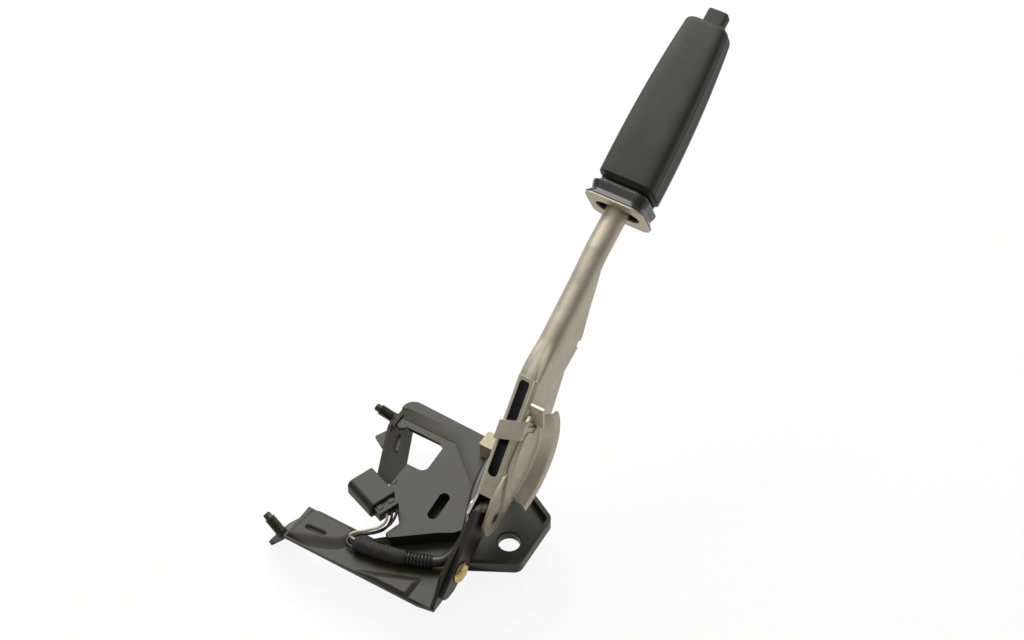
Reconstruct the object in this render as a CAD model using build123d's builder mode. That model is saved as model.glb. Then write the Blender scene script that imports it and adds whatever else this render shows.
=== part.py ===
"""Parking brake lever on its floor bracket.

Frame: +X forward along the lever, +Y left, +Z up. The origin is the centre of the floor
bolt hole at the lower rim of its collar. All lengths are in millimetres.
"""

from build123d import *
from math import atan2, cos, degrees, hypot, radians, sin
import os

os.makedirs("parts", exist_ok=True)

# ---------------------------------------------------------------- driving dimensions
# sheets and levels
sheet = 3.0
collar_depth = 7.0
low_top = collar_depth
low_bottom = low_top - sheet
recess_top = 18.0
recess_bottom = recess_top - sheet
band_rise = 3.0
band_top = recess_top + band_rise
rim_height = 6.3
rim_corner_r = 7.0
bend_r = 5.0

# plan of the lower bracket
arm_near_x = -76.0
arm_far_x = -46.0
arm_end_y = 134.5
arm_far_end_y = 130.6
arm_corner_r = 8.0
groove_x = -61.5
groove_y = 114.5
groove_length = 20.0
groove_width = 4.5
groove_depth = 1.2

# plan of the upper bracket
front_x = 62.0
front_right_x = 59.0
front_y = 120.5
front_corner_r = 9.0
right_y = 27.0
window_front_x = 40.3
window_right_y = 77.5
window_corner_r = 5.0
recess_slot_length = 24.0
recess_slot_width = 7.8

# floor bolt
bolt_hole_r = 7.6
hole_edge_r = 1.2
collar_wall = 2.6

# slope between the raised band and the recess
slope_run = 8.0

# studs
stud_r = 4.0
stud_length = 18.0
stud_point_r = 2.7
stud_point_length = 4.0
tab_bend = 54.0
tab_length = 33.0
tab_width = 22.0
tab_corner_r = 8.0

# lever position
pivot_x = -9.0
pivot_z = 39.5
lever_mid_y = 14.0
lever_half_width = 8.3
wall = 2.0
arm_angle = 51.0
web_offset = 9.0
web_thickness = 2.0
strap_start = 14.0
strap_end = 28.0
slot_end = 98.5
slot_width = 7.2
slot_shift = 1.2
channel_corner_r = 4.0
raise_range = 30.0

# neck and grip
neck_r = 8.3
neck_bore_r = 6.3
grip_angle = 26.2
grip_base_x = 162.6
grip_base_z = 179.6
grip_length = 143.0
collar_length = 12.0

# button, rod and spring
button_width = 15.0
button_height = 10.5
button_out = 13.0
button_travel = 5.0
rod_r = 2.0
spring_r = 4.6
spring_wire_r = 0.6

# ratchet
sector_thickness = 3.4
flange_thickness = sheet
sector_face_y = 10.3
tooth_outer_r = 34.0
tooth_depth = 2.2
tooth_pitch = 4.0
tooth_first = 12.0
tooth_count = 11
hub_r = 11.0
rivet_r = 4.0
rivet_head_r = 7.8
rivet_head_height = 3.0
rivet_x = -46.0
rivet_z = 19.5

# pivot
pin_r = 4.0
pin_head_r = 6.5
pin_head_height = 2.6
bush_wall = 1.6
running_gap = 0.05
side_gap = 0.05

# pawl
pawl_pin_x = 35.0
pawl_pin_z = 63.0
pawl_pin_r = 2.5
pawl_angle = 20.0
crest_gap = 0.35

# cable guide
guide_x = 10.0
guide_z = 79.0
guide_inner_r = 36.0
guide_outer_r = 45.5
guide_start = -89.0
guide_sweep = 109.0
guide_plate = 2.0
guide_flare_y = 10.0

# harness
sleeve_r = 5.6
tube_r = 3.7
tube_rib_r = 4.9
ribbed_length = 19.0
wire_r = 0.95

# ---------------------------------------------------------------- derived positions
right_wall_y = lever_mid_y - lever_half_width
left_wall_y = lever_mid_y + lever_half_width
inner_right_y = right_wall_y + wall
inner_left_y = left_wall_y - wall
sector_left_y = sector_face_y + sector_thickness
flange_left_y = sector_left_y + flange_thickness
bush_r = pin_r + running_gap + bush_wall
bush_start_y = inner_right_y + side_gap
bush_end_y = inner_left_y - side_gap
guide_outer_y = right_wall_y - guide_plate
grip_top_x = grip_base_x + grip_length * cos(radians(grip_angle))
grip_top_z = grip_base_z + grip_length * sin(radians(grip_angle))


def side(y):
    """Plane in X and Z at the given y. It faces -Y, so an extrusion runs towards -Y."""
    return Plane.XZ.offset(-y)


def polar(radius, angle, centre=(pivot_x, pivot_z)):
    """Point in X and Z at a radius and an angle from a centre, the pivot unless named."""
    return (centre[0] + radius * cos(radians(angle)), centre[1] + radius * sin(radians(angle)))


def along(distance, offset):
    """Point in X and Z measured along the lower arm from the pivot, and square to it."""
    a = radians(arm_angle)
    return (
        pivot_x + distance * cos(a) - offset * sin(a),
        pivot_z + distance * sin(a) + offset * cos(a),
    )


def grip_plane(distance, lift=0.0):
    """Plane square to the grip at a distance from its lower end. Its x runs along Y."""
    a = radians(grip_angle)
    origin = (
        grip_base_x + distance * cos(a) - lift * sin(a),
        lever_mid_y,
        grip_base_z + distance * sin(a) + lift * cos(a),
    )
    return Plane(origin=origin, x_dir=(0, -1, 0), z_dir=(cos(a), 0, sin(a)))


def on_y(radius, start, end, x, z):
    """Cylinder along Y between two values of y."""
    with BuildPart(mode=Mode.PRIVATE) as shaft:
        with BuildSketch(side(end)):
            with Locations((x, z)):
                Circle(radius)
        extrude(amount=end - start)
    return shaft.part


# ---------------------------------------------------------------- lower bracket
rim_outline = [
    (47.5, 14.0),
    (38.8, 2.0),
    (28.4, -17.3),
    (-16.7, -18.7),
    (-34.5, sector_left_y),
]
panel_outline = [
    rim_outline[-1],
    (arm_near_x + 2.0, sector_left_y),
    (arm_near_x, sector_left_y + 12.0),
    (arm_near_x, arm_end_y),
    (arm_far_x, arm_far_end_y),
    (arm_far_x, 80.0),
    (-33.0, 66.0),
    (-14.0, 64.0),
    (16.0, 62.0),
    (22.0, 38.0),
    (50.0, 32.0),
    rim_outline[0],
]
tab_turn = atan2(arm_end_y - arm_far_end_y, arm_far_x - arm_near_x)
tab_a = radians(tab_bend)
tab_run = Vector(cos(tab_turn), -sin(tab_turn), 0)
tab_plane = Plane(
    origin=Vector(arm_near_x, arm_end_y, low_top) + tab_run * (tab_width / 2),
    x_dir=tab_run,
    z_dir=(sin(tab_turn) * sin(tab_a), cos(tab_turn) * sin(tab_a), cos(tab_a)),
)
flange_outline = [
    (arm_near_x + 3.0, low_bottom + 0.5),
    (arm_near_x + 2.5, 8.5),
    (-69.0, 14.0),
    (-61.0, 29.0),
    (-46.0, 38.0),
    (-22.0, 50.5),
    (pivot_x, pivot_z + hub_r - 1.0),
    (pivot_x + 8.0, pivot_z + 2.0),
    (-6.0, 29.5),
    (-31.0, 16.5),
    (-44.0, 8.0),
    (-44.0, low_bottom + 0.5),
]

with BuildPart() as lower_bracket:
    with BuildSketch(Plane.XY.offset(low_bottom)) as panel:
        with BuildLine():
            FilletPolyline(*rim_outline, radius=rim_corner_r)
            Polyline(*panel_outline)
        make_face()
        fillet(panel.vertices().sort_by_distance((arm_far_x, arm_far_end_y, low_bottom))[0],
               radius=arm_corner_r)
        fillet(panel.vertices().sort_by_distance((-33.0, 66.0, low_bottom))[0], radius=6.0)
    extrude(amount=sheet)
    # the rim that stands up round the bolt panel
    with BuildSketch(Plane.XY.offset(low_bottom)):
        with BuildLine():
            FilletPolyline(*rim_outline, radius=rim_corner_r)
            offset(amount=sheet, side=Side.RIGHT)
        make_face()
    extrude(amount=sheet + rim_height)
    # the tab that is bent down and carries the rear stud
    with BuildSketch(tab_plane) as tab:
        with Locations((0, tab_length / 2)):
            Rectangle(tab_width, tab_length)
        fillet(tab.vertices().group_by(Axis.Z)[0], radius=tab_corner_r)
    extrude(amount=-sheet)
    # the flange beside the ratchet, turned up from the arm's right end
    with BuildSketch(side(flange_left_y)):
        Polygon(*flange_outline, align=None)
    extrude(amount=flange_thickness)
    # floor bolt hole with its collar
    with BuildSketch(Plane.XY):
        Circle(bolt_hole_r + collar_wall)
    extrude(amount=low_top)
    with BuildSketch(Plane.XY):
        Circle(bolt_hole_r)
    extrude(amount=low_top, mode=Mode.SUBTRACT)
    hole_top = lower_bracket.edges().filter_by(GeomType.CIRCLE).filter_by(
        lambda e: abs(e.radius - bolt_hole_r) < 0.01 and e.center().Z > low_bottom
    )
    fillet(hole_top, radius=hole_edge_r)
    # groove pressed in the arm
    with BuildSketch(Plane.XY.offset(low_top)):
        with Locations((groove_x, groove_y)):
            SlotOverall(groove_length, groove_width, rotation=90)
    extrude(amount=-groove_depth, mode=Mode.SUBTRACT)
    # seats for the bush and the rivet
    with BuildSketch(side(flange_left_y)):
        with Locations((pivot_x, pivot_z)):
            Circle(bush_r)
        with Locations((rivet_x, rivet_z)):
            Circle(rivet_r)
    extrude(amount=flange_thickness, mode=Mode.SUBTRACT)
lower_bracket.part.label = "lower_bracket"


# ---------------------------------------------------------------- upper bracket
top_outline = [
    (front_right_x, right_y),
    (front_x, front_y),
    (51.5, front_y),
    (42.0, 111.5),
    (window_front_x, 108.0),
    (window_front_x, window_right_y),
    (12.9, window_right_y - 1.0),
    (12.9, 91.5),
    (3.0, 90.0),
    (-6.0, 88.0),
    (-9.0, 91.5),
    (-13.5, 84.6),
    (-20.4, 94.7),
    (-30.0, 88.2),
    (-23.0, 76.0),
    (-33.0, 67.5),
    (-44.5, 71.0),
    (-46.5, 67.0),
    (-43.0, 62.5),
    (-26.0, 41.0),
    (-20.5, 32.0),
    (-14.0, right_y),
]
raised_outline = [
    (front_right_x, right_y),
    (front_x, front_y),
    (51.5, front_y),
    (45.5, 114.8),
    (45.5, 72.0),
    (12.0, 34.0),
    (4.0, right_y),
]
raised_pocket = [
    (front_right_x - sheet, right_y + sheet),
    (front_x - sheet, 112.0),
    (56.0, 116.0),
    (54.5, 117.0),
    (54.5, 70.0),
    (24.0, 36.0),
    (20.0, right_y + sheet),
]
rear_wall_line = [
    (-46.0, 66.4),
    (-43.0, 62.5),
    (-26.0, 41.0),
    (-20.5, 32.0),
    (-14.0, right_y),
    (front_right_x, right_y),
]
front_wall_line = [
    (front_right_x, right_y),
    (front_x, front_y),
    (51.5, front_y),
]
front_wall_bottom = 9.0
splay = radians(12.0)
corner_plane = Plane(
    origin=(48.0, front_y, recess_top),
    x_dir=(1, 0, 0),
    z_dir=(0, cos(splay), sin(splay)),
)
corner_outline = [(-13, -1), (-6, -2), (9, -2), (12, 1), (10, 7), (5, 12), (-3, 14), (-13, 12)]
left_flange_run = (-0.92, -0.39, 0.0)
left_flange_plane = Plane(
    origin=(38.0, front_y - 2.0, recess_top - 0.5),
    x_dir=left_flange_run,
    z_dir=(0.349, -0.8225, 0.446),
)
left_flange_outline = [
    (-5, 10),
    (-4.5, 4),
    (-4, -1),
    (4, -3),
    (46, -2),
    (45.5, 10.5),
    (37, 22),
    (31, 26),
    (-12, 24),
]

with BuildPart() as upper_bracket:
    with BuildSketch(Plane.XY.offset(recess_bottom)) as recess:
        Polygon(*top_outline, align=None)
        for place in ((window_front_x, window_right_y), (12.9, window_right_y - 1.0)):
            fillet(recess.vertices().sort_by_distance((*place, recess_bottom))[0],
                   radius=window_corner_r)
    extrude(amount=sheet)
    # raised front band and plateau, hollow underneath
    with BuildSketch(Plane.XY.offset(recess_bottom)):
        Polygon(*raised_outline, align=None)
    extrude(amount=sheet + band_rise)
    crease = upper_bracket.edges().filter_by_position(Axis.Z, band_top - 0.01, band_top + 0.01)
    crease = crease.filter_by(lambda e: e.center().X < 46 and right_y + 1 < e.center().Y < front_y)
    plateau = upper_bracket.faces().sort_by(Axis.Z)[-1]
    chamfer(crease, length=slope_run, length2=band_rise - 0.3, reference=plateau)
    fillet(upper_bracket.edges().filter_by(Axis.Z).sort_by_distance((front_x, front_y, band_top))[0],
           radius=front_corner_r)
    with BuildSketch(Plane.XY.offset(recess_bottom)):
        Polygon(*raised_pocket, align=None)
    extrude(amount=band_rise, mode=Mode.SUBTRACT)
    # walls that run down to the lower bracket, and the lip along the front
    with BuildSketch(Plane.XY.offset(low_top)):
        with BuildLine():
            Polyline(*rear_wall_line)
            offset(amount=sheet, side=Side.LEFT)
        make_face()
    extrude(amount=recess_top - low_top)
    with BuildSketch(Plane.XY.offset(front_wall_bottom)):
        with BuildLine():
            FilletPolyline(*front_wall_line, radius=front_corner_r)
            offset(amount=sheet, side=Side.LEFT)
        make_face()
    extrude(amount=band_top - front_wall_bottom)
    # corner plate for the front stud, and the flange that slopes in under the hole
    with BuildSketch(corner_plane):
        Polygon(*corner_outline, align=None)
    extrude(amount=-sheet)
    with BuildSketch(left_flange_plane):
        Polygon(*left_flange_outline, align=None)
    extrude(amount=-sheet)
    # riser between the panel and the flange, and the small corner ear
    with BuildSketch(Plane.XY.offset(-5.0)):
        with Locations((1.0, 90.6)):
            Rectangle(16, sheet)
    extrude(amount=recess_top + 5.0)
    with BuildSketch(Plane.XY.offset(low_top)):
        Polygon((38.6, 122), (27.2, 127.7), (22, 119), (24, 107), (37, 112), align=None)
    extrude(amount=sheet)
    # slot in the recess
    with BuildSketch(Plane.XY.offset(recess_top)):
        with Locations((-6.6, 52.6)):
            SlotOverall(recess_slot_length, recess_slot_width, rotation=4)
    extrude(amount=-sheet, mode=Mode.SUBTRACT)
upper_bracket.part.label = "upper_bracket"


# ---------------------------------------------------------------- studs
def build_stud(seat):
    """Stud that stands on a plane, plain at its thread's outer radius, with a dog point."""
    with BuildPart(mode=Mode.PRIVATE) as stud:
        with BuildSketch(seat):
            Circle(stud_r)
        extrude(amount=stud_length - stud_point_length)
        with BuildSketch(seat.offset(stud_length - stud_point_length)):
            Circle(stud_point_r)
        extrude(amount=stud_point_length)
    return stud.part


front_stud_seat = corner_plane.shift_origin(corner_plane.from_local_coords((-1.6, 6.5, 0)))
rear_stud_seat = tab_plane.shift_origin(
    tab_plane.from_local_coords((stud_r + 0.8 - tab_width / 2, 9.9, 0))
)

with BuildPart() as front_stud:
    add(build_stud(front_stud_seat))
front_stud.part.label = "front_stud"

with BuildPart() as rear_stud:
    add(build_stud(rear_stud_seat))
rear_stud.part.label = "rear_stud"


# ---------------------------------------------------------------- ratchet
ear_outline = [
    polar(14.0, 121.0),
    (-24.5, 61.5),
    (-44.8, 35.6),
    (-66.5, 15.0),
    (-66.0, 10.0),
    (-61.0, 7.0),
    (-54.0, 7.0),
    (-46.0, 11.0),
    (-31.0, 17.8),
    (-13.0, 27.5),
    (pivot_x, pivot_z),
]
tooth_start = tooth_first
tooth_stop = tooth_first + tooth_pitch * tooth_count
root_r = tooth_outer_r - tooth_depth
quadrant_outline = [(pivot_x, pivot_z)]
quadrant_outline.append(polar(root_r, tooth_start - 6.0))
for index in range(tooth_count):
    quadrant_outline.append(polar(root_r, tooth_start + tooth_pitch * index))
    quadrant_outline.append(polar(tooth_outer_r, tooth_start + tooth_pitch * index + 0.5))
    quadrant_outline.append(polar(tooth_outer_r, tooth_start + tooth_pitch * index + 1.2))
quadrant_outline.append(polar(root_r, tooth_stop))

with BuildPart() as ratchet_sector:
    with BuildSketch(side(sector_left_y)):
        Polygon(*ear_outline, align=None)
        Polygon(*quadrant_outline, align=None)
        with Locations((pivot_x, pivot_z)):
            Circle(hub_r)
        with Locations((pivot_x, pivot_z)):
            Circle(bush_r, mode=Mode.SUBTRACT)
        with Locations((rivet_x, rivet_z)):
            Circle(rivet_r, mode=Mode.SUBTRACT)
    extrude(amount=sector_thickness)
    tip_edges = ratchet_sector.edges().filter_by(Axis.Y)
    fillet(tip_edges.filter_by(lambda e: e.center().X < -60), radius=2.4)
ratchet_sector.part.label = "ratchet_sector"

with BuildPart() as sector_rivet:
    with BuildSketch(side(flange_left_y)):
        with Locations((rivet_x, rivet_z)):
            Circle(rivet_r)
    extrude(amount=flange_left_y - sector_face_y)
    with BuildSketch(side(sector_face_y)):
        with Locations((rivet_x, rivet_z)):
            Circle(rivet_head_r)
    extrude(amount=rivet_head_height)
    head_rim = sector_rivet.edges().filter_by(GeomType.CIRCLE).group_by(Axis.Y)[0]
    fillet(head_rim, radius=1.8)
    with BuildSketch(side(flange_left_y + 1.6)):
        with Locations((rivet_x, rivet_z)):
            Circle(rivet_r + 2.0)
    extrude(amount=1.6)
sector_rivet.part.label = "sector_rivet"

with BuildPart() as pivot_bush:
    add(on_y(bush_r, bush_start_y, bush_end_y, pivot_x, pivot_z))
    add(on_y(bush_r + 2.0, bush_start_y, sector_face_y, pivot_x, pivot_z))
    add(
        on_y(pin_r + running_gap, bush_start_y - 1, bush_end_y + 1, pivot_x, pivot_z),
        mode=Mode.SUBTRACT,
    )
pivot_bush.part.label = "pivot_bush"

# ---------------------------------------------------------------- lever arm
neck_path = [
    along(78.0, web_offset - neck_r),
    along(99.0, web_offset - neck_r),
    (86.0, 136.2),
    (112.0, 151.0),
    (134.7, 166.0),
    (grip_base_x, grip_base_z),
    (
        grip_base_x + 26.0 * cos(radians(grip_angle)),
        grip_base_z + 26.0 * sin(radians(grip_angle)),
    ),
]
lower_wall = [
    along(99.0, web_offset - channel_corner_r),
    along(36.0, web_offset - channel_corner_r),
    along(30.0, web_offset),
    (-10.9, 61.2),
    (-22.8, 44.1),
    (-21.0, 34.0),
    (-17.9, 29.1),
    (-9.0, 26.0),
    (4.0, 28.0),
    (20.0, 37.0),
    (36.0, 47.0),
    (52.0, 57.0),
    (65.7, 76.8),
    (79.5, 99.0),
    (80.5, 101.5),
    (97.0, 108.2),
    (104.0, 114.0),
    (112.6, 132.7),
    (122.0, 149.0),
    (126.0, 158.0),
    (112.0, 151.0),
    (86.0, 136.2),
    along(99.0, web_offset - neck_r),
]
lower_wall_left = [
    along(99.0, web_offset - channel_corner_r),
    along(strap_start - 2.0, web_offset - channel_corner_r),
    polar(11.0, 150.0),
    polar(11.0, 190.0),
    polar(11.0, 230.0),
    polar(11.0, 270.0),
    polar(12.0, 300.0),
] + lower_wall[9:]
channel_start = along(strap_start, web_offset)
channel_plane = Plane(
    origin=(channel_start[0], lever_mid_y, channel_start[1]),
    x_dir=(0, 1, 0),
    z_dir=(cos(radians(arm_angle)), 0, sin(radians(arm_angle))),
)
channel_length = 100.0 - strap_start
mouth = [
    along(60.0, web_offset - web_thickness),
    along(60.0, -80.0),
    (140.0, 100.0),
    (118.0, 148.0),
    (112.0, 147.0),
    (86.0, 132.0),
    along(99.0, web_offset - neck_r - 4.0),
    along(96.0, web_offset - web_thickness - 1.0),
]
slot_middle = along((strap_end + slot_end) / 2, web_offset)
slot_plane = Plane(
    origin=(slot_middle[0], lever_mid_y + slot_shift, slot_middle[1]),
    x_dir=(cos(radians(arm_angle)), 0, sin(radians(arm_angle))),
    z_dir=(-sin(radians(arm_angle)), 0, cos(radians(arm_angle))),
)
web_width = 2 * lever_half_width


def neck_wire():
    """Centre line of the neck, from the lower channel to inside the grip."""
    points = [(x, lever_mid_y, z) for x, z in neck_path]
    return FilletPolyline(*points, radius=18.0)


with BuildPart() as lever_arm:
    # neck tube
    with BuildLine():
        neck_line = neck_wire()
    with BuildSketch(Plane(origin=neck_line @ 0, z_dir=neck_line % 0)):
        Circle(neck_r)
    sweep()
    # web with rounded corners, and the two walls
    with BuildSketch(channel_plane) as channel:
        with Locations((0, -channel_corner_r)):
            Rectangle(web_width, 2 * channel_corner_r)
        fillet(channel.vertices().group_by(Axis.Z)[-1], radius=channel_corner_r)
        with Locations((0, -web_thickness - channel_corner_r)):
            Rectangle(web_width - 2 * wall, 2 * channel_corner_r, mode=Mode.SUBTRACT)
    extrude(amount=channel_length)
    with BuildSketch(side(left_wall_y)):
        Polygon(*lower_wall_left, align=None)
    extrude(amount=wall)
    with BuildSketch(side(inner_right_y)):
        Polygon(*lower_wall, align=None)
    extrude(amount=wall)
    # inside of the tube and the open side of the channel
    with BuildSketch(Plane(origin=neck_line @ 0, z_dir=neck_line % 0)):
        Circle(neck_bore_r)
    sweep(path=neck_line, mode=Mode.SUBTRACT)
    with BuildSketch(side(inner_left_y)):
        Polygon(*mouth, align=None)
    extrude(amount=inner_left_y - inner_right_y, mode=Mode.SUBTRACT)
    # long slot in the web
    with BuildSketch(slot_plane):
        SlotOverall(slot_end - strap_end, slot_width)
    extrude(amount=-8.0, mode=Mode.SUBTRACT)
    # bores for the pins
    for x, z, radius in ((pivot_x, pivot_z, pin_r), (pawl_pin_x, pawl_pin_z, pawl_pin_r)):
        with BuildSketch(side(left_wall_y + 1)):
            with Locations((x, z)):
                Circle(radius)
        extrude(amount=web_width + 2, mode=Mode.SUBTRACT)
    # small hole at the deep end of the wall
    with BuildSketch(side(left_wall_y + 1)):
        with Locations((99.0, 111.5)):
            Circle(2.6)
    extrude(amount=web_width + 2, mode=Mode.SUBTRACT)
    # striker turned out over the switch
    with BuildSketch(side(left_wall_y + 12.0)):
        Polygon((43.0, 54.0), (56.0, 54.0), (56.0, 56.0), (43.0, 56.0), align=None)
    extrude(amount=12.0 + wall)
lever_arm.part.label = "lever_arm"

# ---------------------------------------------------------------- pins
with BuildPart() as pivot_pin:
    add(on_y(pin_r, right_wall_y, left_wall_y, pivot_x, pivot_z))
    add(on_y(pin_head_r, left_wall_y, left_wall_y + pin_head_height, pivot_x, pivot_z))
    fillet(pivot_pin.edges().filter_by(GeomType.CIRCLE).group_by(Axis.Y)[-1], radius=1.2)
pivot_pin.part.label = "pivot_pin"

with BuildPart() as pawl_pin:
    add(on_y(pawl_pin_r, right_wall_y, left_wall_y, pawl_pin_x, pawl_pin_z))
    add(on_y(pawl_pin_r + 1.5, left_wall_y, left_wall_y + 1.5, pawl_pin_x, pawl_pin_z))
pawl_pin.part.label = "pawl_pin"

# ---------------------------------------------------------------- cable guide
guide_centre = (guide_x, guide_z)


def guide_arc(radius, start, stop, count):
    """Points on the guide's arc, as X and Z."""
    step = (stop - start) / count
    return [polar(radius, start + step * index, guide_centre) for index in range(count + 1)]


guide_stop = guide_start + guide_sweep
strap_left = (53.5, 67.0)
strap_right = (59.5, 73.0)
guide_outline = guide_arc(guide_inner_r - 1.0, guide_start, -1.0, 22) + [
    (44.5, 80.5),
    (29.5, 96.5),
    (31.5, 99.5),
    (36.0, 97.8),
    (42.0, 97.5),
    (42.0, 101.0),
    (34.0, 103.0),
    along(strap_right[1], web_offset),
    along(strap_right[0], web_offset),
    along(strap_right[0], web_offset - 2.0),
    (9.0, 76.0),
    (3.0, 62.0),
    (-2.6, 40.5),
    (0.5, 36.5),
]
flare_inner = [(guide_inner_r - 0.5, guide_outer_y), (guide_inner_r - 0.5, right_wall_y)]
section_plane = Plane(
    origin=(guide_x, 0, guide_z),
    x_dir=(cos(radians(guide_start)), 0, sin(radians(guide_start))),
    z_dir=(-sin(radians(guide_start)), 0, cos(radians(guide_start))),
)
flare_axis = Axis((guide_x, 0, guide_z), (0, -1, 0))
strap_line = [
    (strap_left[0], left_wall_y),
    (strap_left[1], left_wall_y),
    (strap_right[1], guide_outer_y),
    (strap_right[0], guide_outer_y),
]
lens_outline = [
    (25.5, 91.5),
    (30.0, 91.5),
    (40.5, 80.5),
    polar(33.0, -15.0, guide_centre),
    polar(33.0, -38.0, guide_centre),
    polar(33.0, -60.0, guide_centre),
    polar(33.5, -80.0, guide_centre),
    (4.0, 41.0),
    (4.5, 52.0),
    (10.0, 70.0),
    (17.0, 82.0),
]
hook_top = (35.9, right_wall_y, 112.0)
hook_plane = Plane(origin=hook_top, x_dir=(0, -1, 0), z_dir=(-1, 0, 0))

with BuildPart() as cable_guide:
    # plate that lies on the lever's right wall
    with BuildSketch(side(right_wall_y)):
        Polygon(*guide_outline, align=None)
    extrude(amount=guide_plate)
    # raised panel in the plate
    with BuildSketch(side(guide_outer_y)):
        Polygon(*lens_outline, align=None)
    extrude(amount=0.9, taper=30)
    # flared gutter, turned about the guide's own centre
    with BuildSketch(section_plane):
        with BuildLine():
            FilletPolyline(
                (guide_inner_r - 4.0, guide_outer_y),
                (guide_inner_r + 0.5, guide_outer_y),
                (guide_inner_r + 5.5, guide_outer_y - guide_flare_y + 1.5),
                (guide_outer_r, guide_outer_y - guide_flare_y),
                radius=3.5,
            )
            offset(amount=guide_plate, side=Side.LEFT)
        make_face()
    revolve(axis=flare_axis, revolution_arc=guide_sweep)
    # strap across the slot, askew, with its end turned down on the plate
    with BuildSketch(slot_plane):
        Polygon(
            *[
                (distance - (strap_end + slot_end) / 2, y - lever_mid_y - slot_shift)
                for distance, y in strap_line
            ],
            align=None,
        )
    extrude(amount=guide_plate)
    with BuildSketch(side(right_wall_y)):
        Polygon(
            along(strap_right[0], web_offset - 4.0),
            along(strap_right[1], web_offset - 4.0),
            along(strap_right[1], web_offset + guide_plate),
            along(strap_right[0], web_offset + guide_plate),
            align=None,
        )
    extrude(amount=guide_plate)
    # hook tab that holds the cable's end
    with BuildSketch(hook_plane):
        with Locations((4.7, -9.0)):
            Rectangle(10.4, 18.0)
    extrude(amount=-guide_plate)
    # nothing of the guide runs inside the lever
    with BuildSketch(side(right_wall_y + 6.0)):
        with Locations((37.0, 103.0)):
            Rectangle(10.5, 22.0)
    extrude(amount=6.0, mode=Mode.SUBTRACT)
cable_guide.part.label = "cable_guide"

guide_rivet_places = [(38.5, 83.0), (14.5, 55.0)]
with BuildPart() as guide_rivets:
    for x, z in guide_rivet_places:
        add(on_y(2.5, guide_outer_y - 1.2, inner_right_y + 1.2, x, z))
guide_rivets.part.label = "guide_rivets"

with BuildPart() as guide_holes:
    for x, z in guide_rivet_places:
        add(on_y(2.5, guide_outer_y - 3.0, inner_right_y + 0.0, x, z))

with BuildPart() as cable_guide_finished:
    add(cable_guide.part)
    add(guide_holes.part, mode=Mode.SUBTRACT)
cable_guide_finished.part.label = "cable_guide"

with BuildPart() as lever_arm_finished:
    add(lever_arm.part)
    add(guide_holes.part, mode=Mode.SUBTRACT)
lever_arm_finished.part.label = "lever_arm"

# ---------------------------------------------------------------- pawl
pawl_tip = polar(tooth_outer_r + crest_gap, pawl_angle)
pawl_tip_back = polar(tooth_outer_r + crest_gap, pawl_angle + 3.0)
pawl_tail = (26.5, 75.5)
pawl_outline = [
    pawl_tip,
    pawl_tip_back,
    (24.5, 58.0),
    (29.0, 65.0),
    (24.5, 73.5),
    (26.0, 77.5),
    (30.0, 77.0),
    (34.0, 69.5),
    (41.0, 65.5),
    (40.5, 59.0),
    (33.0, 56.0),
]
pawl_y = sector_face_y + sector_thickness

with BuildPart() as pawl:
    with BuildSketch(side(pawl_y)):
        Polygon(*pawl_outline, align=None)
        with Locations((pawl_pin_x, pawl_pin_z)):
            Circle(6.2)
        with Locations((pawl_pin_x, pawl_pin_z)):
            Circle(pawl_pin_r + running_gap, mode=Mode.SUBTRACT)
    extrude(amount=sector_thickness)
pawl.part.label = "pawl"

# ---------------------------------------------------------------- rod and its guide
def grip_point(distance, lift=0.0):
    """Point on the grip's own axis, with y in the lever's middle."""
    origin = grip_plane(distance, lift).origin
    return (origin.X, origin.Y, origin.Z)


rod_start = grip_length - 19.0
rod_path = [
    grip_point(rod_start),
    grip_point(2.0),
    (134.7, lever_mid_y, 166.0),
    (112.0, lever_mid_y, 151.6),
    (86.0, lever_mid_y, 137.2),
    (60.0, lever_mid_y, 122.6),
    (44.0, lever_mid_y, 101.0),
    (30.2, lever_mid_y, 77.3),
]
with BuildPart() as release_rod:
    with BuildLine():
        rod_line = FilletPolyline(*rod_path, radius=10.0)
    with BuildSketch(Plane(origin=rod_line @ 0, z_dir=rod_line % 0)):
        Circle(rod_r)
    sweep()
release_rod.part.label = "release_rod"

with BuildPart() as rod_guide:
    with BuildSketch(grip_plane(14.0)):
        Circle(neck_bore_r)
        Circle(rod_r + running_gap, mode=Mode.SUBTRACT)
    extrude(amount=8.0)
rod_guide.part.label = "rod_guide"

collar_at = 22.0 + 34.0
with BuildPart() as rod_collar:
    with BuildSketch(grip_plane(collar_at)):
        Circle(5.6)
        Circle(rod_r, mode=Mode.SUBTRACT)
    extrude(amount=3.0)
rod_collar.part.label = "rod_collar"

spring_turns = 7
spring_base = 22.0 + spring_wire_r
spring_length = collar_at - button_travel - 1.0 - spring_base - 2 * spring_wire_r
with BuildPart() as return_spring:
    with BuildLine():
        spring_line = Helix(
            pitch=spring_length / spring_turns,
            height=spring_length,
            radius=spring_r - spring_wire_r,
            center=grip_point(spring_base),
            direction=(cos(radians(grip_angle)), 0, sin(radians(grip_angle))),
        )
    with BuildSketch(Plane(origin=spring_line @ 0, z_dir=spring_line % 0)):
        RegularPolygon(spring_wire_r, 6)
    sweep(is_frenet=True)
return_spring.part.label = "return_spring"

# ---------------------------------------------------------------- grip
grip_sections = [
    # distance, width, height, corner, lift
    (14.0, 42.0, 40.0, 9.0, 0.0),
    (60.0, 40.5, 40.5, 10.0, 0.0),
    (105.0, 35.5, 36.5, 9.5, 0.0),
    (grip_length, 28.5, 30.0, 7.0, 0.0),
]
cavity_stop = grip_length - 47.0
bore_clearance = 0.05

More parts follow.
